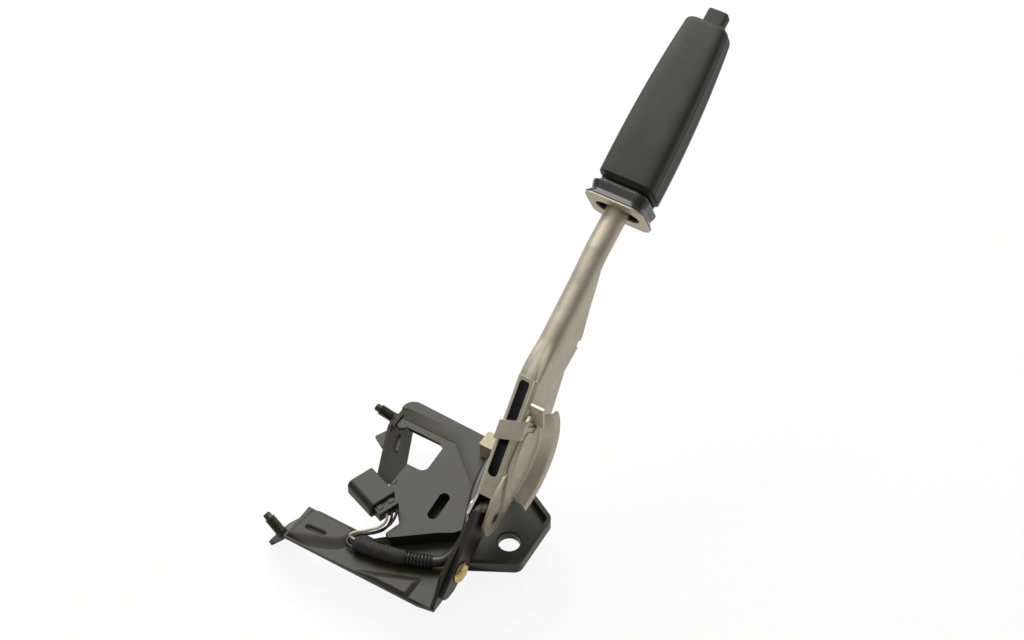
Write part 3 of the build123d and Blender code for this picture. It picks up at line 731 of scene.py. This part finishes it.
# Studio
@dataclass
class Studio:
    """Pale floor, soft lamps and the camera, set as in the photograph."""

    camera_at: Point = (-0.75638, -0.46389, 1.22580)
    right: Point = (0.52101, -0.85355, 0.0)
    up: Point = (0.63630, 0.38840, 0.66653)
    lens_mm: float = 77.38
    fill_light: float = 0.22
    mirrored_wall: float = 0.28
    mirrored_floor: float = 0.95
    floor_gap_mm: float = 0.5
    floor_half: float = 4.0
    floor_glow: float = 0.9
    # Name, place, aim, side and power of each lamp.
    lamps: tuple = (
        ("key softbox", (0.75, 0.75, 1.15), (0.02, 0.05, 0.05), 1.2, 24.0),
        ("top softbox", (-0.06, 0.44, 1.32), (0.15, 0.03, 0.1), 2.0, 8.0),
    )

    def camera(self) -> None:
        """Looks down on the lever from behind and from its right."""
        right = Vector(self.right).normalized()
        back = right.cross(Vector(self.up)).normalized()
        up = back.cross(right)
        data = bpy.data.cameras.new("camera")
        data.lens = self.lens_mm
        data.sensor_width = 36.0
        camera = add_object("camera", data)
        turn = Matrix((right, up, back)).transposed().to_4x4()
        camera.matrix_world = Matrix.Translation(self.camera_at) @ turn
        bpy.context.scene.camera = camera

    def lamp(self, name: str, at: tuple, aim: tuple, size: float, power: float) -> None:
        """Adds one square soft lamp.

        Args:
            name: Name of the lamp.
            at: Its place in metres.
            aim: Point that it faces, in metres.
            size: Length of its side in metres.
            power: Its power in watts.
        """
        data = bpy.data.lights.new(name, "AREA")
        data.size = size
        data.energy = power
        lamp = add_object(name, data)
        lamp.location = at
        lamp.rotation_euler = (Vector(aim) - Vector(at)).to_track_quat("-Z", "Y").to_euler()

    def background(self) -> None:
        """White to the camera, grey in reflections and a darker fill for the rest."""
        world = bpy.data.worlds.new("studio")
        bpy.context.scene.world = world
        tree = fresh_tree(world)
        path = add_node(tree, "LightPath")
        fill = add_node(
            tree, "Background", {"Color": linear("#f3f1ec"), "Strength": self.fill_light}
        )
        seen = add_node(tree, "Background", {"Color": WHITE, "Strength": self.mirrored_wall})
        white = add_node(tree, "Background", {"Color": WHITE, "Strength": 1.0})
        shiny = add_node(
            tree,
            "MixShader",
            links={0: path.outputs["Is Glossy Ray"], 1: fill.outputs[0], 2: seen.outputs[0]},
        )
        both = add_node(
            tree,
            "MixShader",
            links={0: path.outputs["Is Camera Ray"], 1: shiny.outputs[0], 2: white.outputs[0]},
        )
        add_node(tree, "OutputWorld", links={"Surface": both.outputs[0]})

    def floor(self) -> None:
        """Floor that is nearly white to the camera and takes a shadow, and bright in gloss."""
        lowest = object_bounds()[0].z - self.floor_gap_mm * MM
        mesh = bpy.data.meshes.new("floor")
        half = self.floor_half
        corners = [(-half, -half), (half, -half), (half, half), (-half, half)]
        mesh.from_pydata([(x, y, lowest) for x, y in corners], [], [(0, 1, 2, 3)])
        material = bpy.data.materials.new("matt_paper_backdrop")
        tree = fresh_tree(material)
        path = add_node(tree, "LightPath")
        tone = ramp(
            tree,
            path.outputs["Is Camera Ray"],
            [(0.0, linear("#595957")), (1.0, linear("#f6f6f5"))],
        )
        paper = add_node(tree, "BsdfDiffuse", links={"Color": tone.outputs["Color"]})
        glow = add_node(tree, "Emission", {"Color": WHITE, "Strength": 1.0})
        seen = add_node(
            tree,
            "Math",
            {"operation": "MULTIPLY", 1: self.floor_glow},
            {0: path.outputs["Is Camera Ray"]},
        )
        share = add_node(
            tree,
            "Math",
            {"operation": "MULTIPLY_ADD", 1: self.mirrored_floor},
            {0: path.outputs["Is Glossy Ray"], 2: seen.outputs[0]},
        )
        both = add_node(
            tree,
            "MixShader",
            links={0: share.outputs[0], 1: paper.outputs[0], 2: glow.outputs[0]},
        )
        add_node(tree, "OutputMaterial", links={"Surface": both.outputs[0]})
        mesh.materials.append(material)
        add_object("floor", mesh)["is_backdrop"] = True

    def build(self) -> None:
        """Sets up the whole studio."""
        self.camera()
        self.background()
        self.floor()
        for lamp in self.lamps:
            self.lamp(*lamp)
        bpy.context.scene.view_settings.view_transform = "Standard"


# Sub-assemblies
@dataclass(frozen=True)
class PressedField:
    """Raised field pressed into the arm's top.

    Attributes:
        name: Name of the piece.
        corners: Outline as X and Y in millimetres, anticlockwise.
        widths: Width of the slope along each side of the outline.
        rise: Full height in millimetres.
        groove: Whether the short groove is pressed into it.
    """

    name: str
    corners: tuple
    widths: tuple
    rise: float
    groove: bool = False


@dataclass
class Bracket:
    """The two stampings, the studs, the ratchet sector and its rivet."""

    # Node, foot and direction of each stud.
    studs: tuple = (
        ("front_stud", (46.4, 121.8514, 11.642), (0.0, 0.978148, 0.207912)),
        ("rear_stud", (-70.4899, 139.6517, -1.0093), (0.104295, 0.802266, 0.587785)),
    )
    stud_r: float = 4.0
    thread_depth: float = 0.62
    thread_pitch: float = 1.25
    thread_from: float = 2.2
    run_in: float = 1.5
    run_out: float = 0.8
    shank: float = 14.0
    point_r: float = 2.7
    point: float = 4.0
    point_chamfer: float = 0.5
    point_step: float = 0.9
    rivet_foot: Point = (-46.0, 10.3, 19.5)
    # Radius and height, from the hollow in the head to the end of the shank.
    rivet_profile: tuple = (
        (0.0, -3.0),
        (3.0, -3.0),
        (3.4, -2.7),
        (4.6, -2.7),
        (5.2, -2.9),
        (6.6, -2.5),
        (7.5, -1.4),
        (7.8, -0.6),
        (7.8, 0.0),
        (4.0, 0.0),
        (4.0, 6.4),
        (0.0, 6.4),
    )
    arm_top: float = 7.0
    blend: float = 0.12
    field_lift: float = 0.03
    field_sink: float = 0.25
    field_sheet: float = 0.6
    groove_half: float = 1.3
    groove_share: float = 0.75
    gusset_z: tuple[float, float] = (15.0, 17.7)
    gusset_outline: tuple = (
        (52.0, 119.5),
        (46.0, 120.0),
        (40.0, 118.5),
        (37.0, 113.5),
        (40.5, 108.8),
        (46.5, 108.3),
    )
    groove_line: tuple = ((-62.5, 123.0), (-61.5, 111.0))
    fields: tuple = (
        PressedField(
            "arm_far_field",
            (
                (-75.4, 133.6),
                (-75.4, 113.0),
                (-68.0, 95.0),
                (-61.0, 90.5),
                (-46.6, 90.5),
                (-46.6, 129.8),
            ),
            (2.5, 11.0, 9.0, 6.0, 2.5, 2.5),
            rise=2.4,
            groove=True,
        ),
        PressedField(
            "arm_near_field",
            ((-75.4, 84.0), (-75.4, 33.0), (-54.0, 33.0), (-60.5, 48.0), (-68.0, 70.0)),
            (2.5, 5.0, 7.0, 6.0, 7.0),
            rise=1.6,
        ),
    )

    def threaded(self, name: str, origin: tuple, axis: tuple) -> Mesh:
        """Stud with a rolled thread.

        Its radius is the outer radius less the thread's depth times a triangle wave of height
        over pitch minus turn, so that the groove climbs one pitch in each turn.

        Args:
            name: Name of the mesh.
            origin: Centre of the foot in millimetres.
            axis: Direction of the stud.

        Returns:
            The mesh.
        """
        along = np.array(axis) / np.linalg.norm(axis)
        side = np.cross(along, (0.0, 0.0, 1.0))
        side /= np.linalg.norm(side)
        up = np.cross(along, side)
        end = self.shank + self.point
        height = np.r_[
            np.linspace(0.0, self.shank, 170), self.shank + 0.01, self.shank + 0.3, end - 0.6, end
        ]
        turn = np.linspace(0, 2 * math.pi, 48, endpoint=False)
        h, t = np.meshgrid(height, turn, indexing="ij")
        wave = np.abs(((h / self.thread_pitch - t / (2 * math.pi)) % 1.0) * 2 - 1)
        fade = np.clip((h - self.thread_from) / self.run_in, 0, 1)
        fade = fade * np.clip((self.shank + self.run_out / 2 - h) / self.run_out, 0, 1)
        radius = self.stud_r - self.thread_depth * (1 - wave) * fade
        radius = np.where(h > self.shank, self.point_r, radius)
        radius[-1] -= self.point_chamfer
        radius[-4] = self.point_r + self.point_step
        ring = np.cos(t)[..., None] * side + np.sin(t)[..., None] * up
        points = np.array(origin) + radius[..., None] * ring + h[..., None] * along
        return grid_mesh(name, points, closed=True, capped=True)

    def pressing(self, shape: PressedField) -> Mesh:
        """Makes one raised field.

        Its height is the rise times a smooth step of the share, which is the distance inside
        each side of the convex outline over that side's own slope width, smoothly taken at
        its smallest. Outside, it sinks just under the arm. Along the groove it falls by a
        bell curve of the distance from the groove's line.

        Args:
            shape: The field's sizes.

        Returns:
            The closed mesh.
        """
        outline = np.array(shape.corners, float)
        low, high = outline.min(axis=0), outline.max(axis=0)
        x, y = np.meshgrid(
            np.linspace(low[0], high[0], 70), np.linspace(low[1], high[1], 110), indexing="ij"
        )
        inside = np.full(x.shape, np.inf)
        for a, b, width in zip(outline, np.roll(outline, -1, axis=0), shape.widths):
            edge = (b - a) / np.linalg.norm(b - a)
            distance = (edge[0] * (y - a[1]) - edge[1] * (x - a[0])) / width
            inside = -self.blend * np.logaddexp(-inside / self.blend, -distance / self.blend)
        share = np.clip(inside, 0, 1)
        height = shape.rise * smooth_step(share)
        height = height - self.field_sink * np.clip(1 - 6 * inside, 0, 1)
        if shape.groove:
            start, stop = np.array(self.groove_line)
            run = stop - start
            along = ((x - start[0]) * run[0] + (y - start[1]) * run[1]) / (run @ run)
            along = np.clip(along, 0, 1)
            away = np.hypot(x - start[0] - along * run[0], y - start[1] - along * run[1])
            bell = np.exp(-((away / self.groove_half) ** 2))
            height = height - self.groove_share * shape.rise * bell * share
        top = np.stack([x, y, self.arm_top + self.field_lift + height], axis=-1).reshape(-1, 3)
        points = np.concatenate([top, top - (0, 0, self.field_sheet)])
        rows, columns = x.shape
        index = np.arange(rows * columns).reshape(rows, columns)
        quads = np.stack(
            [index[:-1, :-1], index[1:, :-1], index[1:, 1:], index[:-1, 1:]], axis=-1
        ).reshape(-1, 4)
        rim = np.concatenate([index[0, :-1], index[:-1, -1], index[-1, :0:-1], index[:0:-1, 0]])
        step = rows * columns
        after = np.roll(rim, -1)
        walls = np.stack([rim, after, after + step, rim + step], axis=-1)
        faces = np.concatenate([quads, quads[:, ::-1] + step, walls])
        return closed_mesh(shape.name, points, faces.tolist())

    def gusset(self) -> Mesh:
        """Web of sheet between the band's left end and the corner plate."""
        count = len(self.gusset_outline)
        points = [(x, y, z) for z in self.gusset_z for x, y in self.gusset_outline]
        faces = [tuple(range(count))[::-1], tuple(range(count, 2 * count))]
        faces += [(i, (i + 1) % count, (i + 1) % count + count, i + count) for i in range(count)]
        return closed_mesh("corner_gusset", np.array(points), faces, smooth=False)

    def build(self) -> None:
        """Builds and dresses the bracket's pieces."""
        web = self.gusset()
        place_piece(web, "corner_gusset", Body.BRACKET, ELECTROCOAT, "upper_bracket", False)
        for shape in self.fields:
            mesh = self.pressing(shape)
            place_piece(mesh, shape.name, Body.BRACKET, ELECTROCOAT, "lower_bracket", False)
        softened("lower_bracket", ELECTROCOAT, Body.BRACKET, 0.8, fold=2.6)
        softened("upper_bracket", ELECTROCOAT, Body.BRACKET, 0.8, fold=2.6)
        softened("ratchet_sector", PHOSPHATE, Body.BRACKET, 0.35)
        for node, origin, axis in self.studs:
            mesh = self.threaded(node, origin, axis)
            place_piece(mesh, f"{node}_threaded", Body.BRACKET, THREAD, node)
        node = "sector_rivet"
        mesh = lathe(node, self.rivet_profile, self.rivet_foot, (0, 1, 0))
        place_piece(mesh, f"{node}_domed", Body.BRACKET, YELLOW_ZINC, node)
        softened("pivot_bush", BRONZE, Body.BRACKET, 0.2)


@dataclass
class Lever:
    """The lever arm with its pins, guide and release parts."""

    middle_y: float = 14.0
    arm_angle: float = 51.0
    facing: float = 0.9
    pivot: tuple[float, float] = (-9.0, 39.5)
    web_inside: float = 8.0
    neck_r: float = 8.3
    shoulder_from: float = 18.0
    shoulder_to: float = 52.0
    flat_power: float = 6.0
    skin: float = 0.25
    wrap: float = 0.25
    stand_out: float = 0.12
    sink: float = 0.45
    neck_line: tuple = (
        (39.54, 14.0, 100.56),
        (52.76, 14.0, 116.88),
        (86.0, 14.0, 136.2),
        (112.0, 14.0, 151.0),
        (134.7, 14.0, 166.0),
        (162.6, 14.0, 179.6),
    )
    # Node, finish, body and width of the rounding.
    plain_pieces: tuple = (
        ("cable_guide", ZINC_SHEET, Body.LEVER, 0.35),
        ("pivot_pin", BRIGHT_STEEL, Body.LEVER, 0.3),
        ("pawl_pin", BRIGHT_STEEL, Body.LEVER, 0.3),
        ("guide_rivets", ZINC_SHEET, Body.LEVER, 0.3),
        ("rod_guide", GRIP_PLASTIC, Body.LEVER, 0.2),
        ("return_spring", BRIGHT_STEEL, Body.LEVER, 0.05),
        ("release_rod", PHOSPHATE, Body.BUTTON, 0.2),
        ("rod_collar", PHOSPHATE, Body.BUTTON, 0.2),
        ("pawl", PHOSPHATE, Body.PAWL, 0.25),
    )

    def inside(self, centre: np.ndarray, normal: np.ndarray) -> np.ndarray:
        """Finds the faces inside the channel, which get painted shade.

        A wall's face lies inside where its normal points to the middle plane, and the web's
        where it points away from the web and lies below it.

        Args:
            centre: Middle of each face in millimetres.
            normal: Normal of each face.

        Returns:
            Whether each face lies inside.
        """
        turn = math.radians(self.arm_angle)
        out = np.array((-math.sin(turn), 0.0, math.cos(turn)))
        pivot = np.array((self.pivot[0], self.middle_y, self.pivot[1]))
        to_middle = normal[:, 1] * (centre[:, 1] - self.middle_y) < 0
        walls = (np.abs(normal[:, 1]) > self.facing) & to_middle
        web = (normal @ out < -self.facing) & ((centre - pivot) @ out < self.web_inside)
        return walls | web

    def shoulder(self) -> Mesh:
        """Skin of the stretch where the flat channel turns into the round neck.

        At each step the upper half of the section is a superellipse: its sideways and its
        outward reach are the neck's radius times the cosine and the sine of the angle, each
        to the power of two over n. n falls from its flat value at the channel's end to 2, a
        circle, and the reach sinks, so that the skin ends inside the neck. The inner surface
        is the same, one thickness of the skin further in.

        Returns:
            The closed mesh.
        """
        s = np.linspace(self.shoulder_from, self.shoulder_to, 60)
        centre, along = walk(route(self.neck_line), s)
        out = np.stack([-along[:, 2], np.zeros(len(s)), along[:, 0]], axis=1)
        smooth = smooth_step((s - s[0]) / (s[-1] - s[0]))
        power = (self.flat_power + (2.0 - self.flat_power) * smooth)[:, None]
        turn = np.linspace(-self.wrap, math.pi + self.wrap, 49)
        sideways = squared(np.cos(turn), power)
        outward = squared(np.sin(turn), power)
        reach = (self.neck_r + self.stand_out - self.sink * smooth)[:, None]
        skins = []
        for depth in (0.0, self.skin):
            r = (reach - depth)[..., None]
            skins.append(
                centre[:, None]
                + r * sideways[..., None] * np.array((0.0, 1.0, 0.0))
                + r * outward[..., None] * out[:, None]
            )
        ring = np.concatenate([skins[0], skins[1][:, ::-1]], axis=1)
        return grid_mesh("neck_shoulder", ring, closed=True, capped=True)

    def build(self) -> None:
        """Dresses the lever's pieces."""
        arm = softened("lever_arm", ZINC_SHEET, Body.LEVER, 0.7)
        # The channel's inside faces get painted shade, almost black, for the shade deep in the
        # channel.
        paint_faces(arm, PAINTED_CHANNEL_SHADE, self.inside)
        place_piece(self.shoulder(), "neck_shoulder", Body.LEVER, ZINC_SHEET, "lever_arm", False)
        for piece in self.plain_pieces:
            softened(*piece)


@dataclass
class Grip:
    """The hand grip with its collar, end plate and push button."""

    base: Point = (162.6, 14.0, 179.6)
    angle: float = 26.2
    start: float = 14.0
    shell_start: float = 16.5
    sleeve: tuple[float, float] = (36.0, 34.0)
    length: float = 143.0
    # Widths and heights of the shell at these distances along the grip.
    stations: tuple = (14.0, 60.0, 105.0, 143.0)
    widths: tuple = (42.0, 41.5, 37.5, 31.0)
    heights: tuple = (40.0, 40.5, 36.5, 30.0)
    lean_mm: float = 3.2
    lean_power: float = 1.3
    button_shift: float = 2.6
    end_round: float = 4.5
    powers: tuple[float, float] = (5.4, 3.8)
    sleeve_power: float = 5.0
    way_power: float = 7.0
    button_power: float = 6.0
    draw_in: float = 0.05
    ridge_mm: float = 0.35
    ridge_at: float = 0.995
    ridge_half: float = 0.006
    bore_r: float = 8.35
    bore_stop: float = 28.0
    rod_bore_r: float = 7.0
    button_hole: tuple[float, float] = (7.6, 5.35)
    button_size: tuple[float, float] = (7.5, 5.25)
    button_out: float = 13.0
    button_back: float = 20.0
    button_end_r: float = 1.8
    way_length: float = 47.0

    def place(
        self, distance: np.ndarray, across: np.ndarray, up: np.ndarray, shift: float | None = None
    ) -> np.ndarray:
        """Turns distance along the grip, Y and height over its axis into X, Y and Z.

        The grip leans to the left: Y grows with a power of the share of the length.
        The button and its way keep one shift all along, so that the button slides freely.
        """
        a = math.radians(self.angle)
        share = np.clip((distance - self.start) / (self.length - self.start), 0, 1.2)
        lean = self.lean_mm * share**self.lean_power if shift is None else shift
        x = self.base[0] + distance * math.cos(a) - up * math.sin(a)
        y = self.base[1] + across + lean
        z = self.base[2] + distance * math.sin(a) + up * math.cos(a)
        return np.stack([x, y, z], axis=-1)

    def shell(self) -> Mesh:
        """Grip with its bore and the button's way, as one closed skin.

        Each outer section is a superellipse with one power above and a lower one below. Its
        sides draw in towards the bottom, and a thin ridge runs along each side where the two
        halves of the mould met. Widths and heights follow a smooth line over the stations.
        A narrower sleeve comes before the shell, towards the collar. Over the last
        millimetres the section shrinks along a quarter circle. The skin then turns in to the
        button's rounded hole and runs back through the bore to the start.

        Returns:
            The closed mesh.
        """
        turn = np.linspace(0, 2 * math.pi, 192, endpoint=False)
        c, v = np.cos(turn), np.sin(turn)

        def section(width: float, height: float) -> tuple[np.ndarray, np.ndarray]:
            """Half width and half height to the superellipse's two coordinates."""
            n = np.where(v > 0, *self.powers)
            off = (np.abs(c) - self.ridge_at) / self.ridge_half
            w = width * (1 - self.draw_in * (1 - v) / 2) + self.ridge_mm * np.exp(-(off**2))
            return w * squared(c, n), height * squared(v, n)

        def hole(width: float, height: float, power: float) -> tuple[np.ndarray, np.ndarray]:
            """Rounded opening of the given half sizes. A power of 2 gives a circle."""
            return width * squared(c, power), height * squared(v, power)

        def outer(distance: float, inset: float = 0.0) -> tuple[float, np.ndarray, np.ndarray]:
            """One row of the outer skin, drawn in by the inset."""
            half_w = np.polyval(fit_w, distance) / 2 - inset
            half_h = np.polyval(fit_h, distance) / 2 - inset
            return distance, *section(half_w, half_h)

        last = self.length - self.end_round
        d = np.linspace(self.shell_start + 0.8, last, 60)
        fit_w = np.polyfit(self.stations, self.widths, 3)
        fit_h = np.polyfit(self.stations, self.heights, 3)
        neck_w, neck_h = (size / 2 for size in self.sleeve)
        neck = hole(neck_w, neck_h, self.sleeve_power)
        rows = [(x, *neck) for x in (self.start, self.shell_start)]
        edge = ((self.shell_start, 1.4), (self.shell_start, 0.8), (d[0] - 0.5, 0.2))
        rows += [outer(x, inset) for x, inset in edge]
        rows += [outer(x) for x in d]
        for q in np.linspace(0.15, 1.0, 7) * math.pi / 2:
            rows.append(
                outer(last + self.end_round * math.sin(q), self.end_round * (1 - math.cos(q)))
            )
        w, h = self.button_hole
        deep = self.length - self.way_length
        side = self.button_shift
        way = hole(w, h, self.way_power)
        rows.append((self.length, *hole(w + 0.5, h + 0.5, self.way_power), side))
        rows += [(x, *way, side) for x in (self.length - 0.5, deep)]
        for x, r in (
            (deep - 0.5, self.rod_bore_r),
            (self.bore_stop + 0.5, self.rod_bore_r),
            (self.bore_stop, self.bore_r),
            (self.start + 0.3, self.bore_r),
            (self.start, self.bore_r + 0.3),
        ):
            rows.append((x, *hole(r, r, 2.0), 0.0))
        rows.append(rows[0])
        points = np.stack([self.place(np.full_like(row[1], row[0]), *row[1:]) for row in rows])
        mesh = grid_mesh("grip", points, closed=True, capped=False)
        with edited(mesh) as shape:
            bmesh.ops.remove_doubles(shape, verts=shape.verts, dist=JOIN_MM / 2 * MM)
            bmesh.ops.recalc_face_normals(shape, faces=shape.faces)
        return mesh

    def button(self) -> Mesh:
        """Push button: a rounded bar whose end rolls over along a quarter circle."""
        turn = np.linspace(0, 2 * math.pi, 96, endpoint=False)
        c, v = np.cos(turn), np.sin(turn)
        first = self.length - self.button_back
        end = self.length + self.button_out
        r = self.button_end_r
        rows = [(x, 0.0) for x in np.linspace(first, end - r, 8)]
        for q in np.linspace(0.2, 1.0, 6) * math.pi / 2:
            rows.append((end - r + r * math.sin(q), r * (1 - math.cos(q))))
        w, h = self.button_size
        wide, high = squared(c, self.button_power), squared(v, self.button_power)
        shift = self.button_shift
        points = np.stack(
            [
                self.place(np.full_like(c, x), (w - inset) * wide, (h - inset) * high, shift)
                for x, inset in rows
            ]
        )
        return grid_mesh("push_button", points, closed=True, capped=True)

    def build(self) -> None:
        """Builds and dresses the grip's pieces."""
        made = [
            ("grip", self.shell(), Body.LEVER),
            ("push_button", self.button(), Body.BUTTON),
        ]
        for node, mesh, body in made:
            piece = place_piece(mesh, f"{node}_finished", body, GRIP_PLASTIC, node)
            level_normals(piece, 80)
        softened("grip_collar", COLLAR_PLASTIC, Body.LEVER, 0.5)
        softened("grip_end_plate", ZINC_SHEET, Body.LEVER, 0.3)


@dataclass
class Wiring:
    """The warning switch with its lead, the connector and its clip."""

    wire_r: float = 0.95
    sleeve_r: float = 5.6
    tape_step: float = 0.4
    tape_pitch: float = 15.0
    tape_slack: float = 0.12
    crumple: float = 0.16
    tuck: float = 0.12
    tuck_length: float = 1.2
    tube_r: float = 3.7
    rib_r: float = 4.9
    rib_pitch: float = 2.4
    ribbed_length: float = 19.0
    rib_power: float = 0.7
    rib_fade: float = 0.6
    sleeve: tuple = (
        (-58.5, 86.5, 12.6),
        (-57.2, 72.5, 12.6),
        (-54.6, 60.0, 12.6),
        (-51.6, 50.5, 12.6),
    )
    tube: tuple = (
        (-51.6, 50.5, 12.6),
        (-45.13, 30.0, 12.6),
        (-36.0, 24.0, 15.0),
        (-22.0, 21.6, 20.0),
        (-9.0, 26.0, 22.6),
        (9.0, 33.5, 25.6),
        (32.0, 39.0, 27.0),
        (43.0, 39.0, 27.0),
    )
    pale: tuple = (
        (-34.41, 77.15, 23.2),
        (-35.45, 74.34, 23.2),
        (-41.0, 75.5, 18.5),
        (-47.5, 82.0, 17.0),
        (-55.2, 91.4, 17.0),
        (-57.86, 92.59, 13.8),
        (-57.1, 84.0, 13.8),
    )
    dark: tuple = (
        (
            (-30.66, 75.76, 23.2),
            (-31.7, 72.95, 23.2),
            (-40.5, 72.8, 16.0),
            (-48.5, 81.0, 14.2),
            (-52.2, 89.5, 13.0),
            (-60.0, 91.88, 11.4),
            (-59.3, 84.0, 11.4),
        ),
        (
            (-26.9, 74.37, 23.2),
            (-27.95, 71.56, 23.2),
            (-39.0, 70.5, 20.2),
            (-46.0, 80.5, 12.4),
            (-51.5, 93.5, 10.4),
            (-62.58, 93.65, 11.0),
            (-61.7, 84.0, 11.0),
        ),
    )

    def ribs(self, s: np.ndarray, turn: np.ndarray) -> np.ndarray:
        """Radius of the tube: round ribs, half a cosine wave each, over its first stretch."""
        wave = np.abs(np.cos(math.pi * s / self.rib_pitch)) ** self.rib_power
        fade = np.clip((self.ribbed_length - s) / self.rib_fade, 0, 1)
        return self.tube_r + (self.rib_r - self.tube_r) * wave * fade

    def tape(self, s: np.ndarray, turn: np.ndarray) -> np.ndarray:
        """Radius of the tape: it falls by one layer over each turn of its spiral.

        Two crossed waves crumple it a little, and its ends are tucked in.
        """
        lap = (s / self.tape_pitch - turn / (2 * math.pi)) % 1.0
        crumple = self.crumple * np.sin(3 * turn + 1.1 * s) * np.sin(2 * turn - 0.7 * s)
        end = np.clip(np.minimum(s, s.max() - s) / self.tuck_length, 0, 1) ** 0.5
        radius = self.sleeve_r - self.tape_step * lap**1.5 - self.tape_slack + crumple
        return radius * (1 - self.tuck + self.tuck * end)

    def plain(self, s: np.ndarray, turn: np.ndarray) -> np.ndarray:
        """Radius of a wire, the same all along."""
        return np.full_like(s, self.wire_r)

    def build(self) -> None:
        """Builds and dresses the wiring's pieces."""
        softened("switch_body", IVORY_PLASTIC, Body.BRACKET, 0.4)
        softened("switch_plunger", CONNECTOR_PLASTIC, Body.PLUNGER, 0.2)
        for part, rounding in (("housing", 0.6), ("plug", 0.4), ("clip", 0.3)):
            softened(f"connector_{part}", CONNECTOR_PLASTIC, Body.BRACKET, rounding)
        made = [
            ("taped_sleeve", self.sleeve, self.tape, 0.3, 96, CLOTH_TAPE),
            ("ribbed_tube", self.tube, self.ribs, 0.2, 32, BLACK_TUBE),
            ("pale_wire", self.pale, self.plain, 0.5, 16, CREAM_PVC),
            ("dark_wires", self.dark[0], self.plain, 0.5, 16, BLACK_PVC),
        ]
        for node, points, radius, step, sides, finish in made:
            mesh = along_line(node, route(points), radius, step, sides)
            place_piece(mesh, f"{node}_finished", Body.BRACKET, finish, node)
        second = along_line("dark_wire_two", route(self.dark[1]), self.plain, 0.5, 16)
        place_piece(second, "dark_wire_two", Body.BRACKET, BLACK_PVC, "dark_wires", False)


def main() -> None:
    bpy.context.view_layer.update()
    Studio().build()
    for part in (Bracket(), Lever(), Grip(), Wiring()):
        part.build()


if __name__ == "__main__":
    logging.basicConfig(level=logging.INFO)
    main()
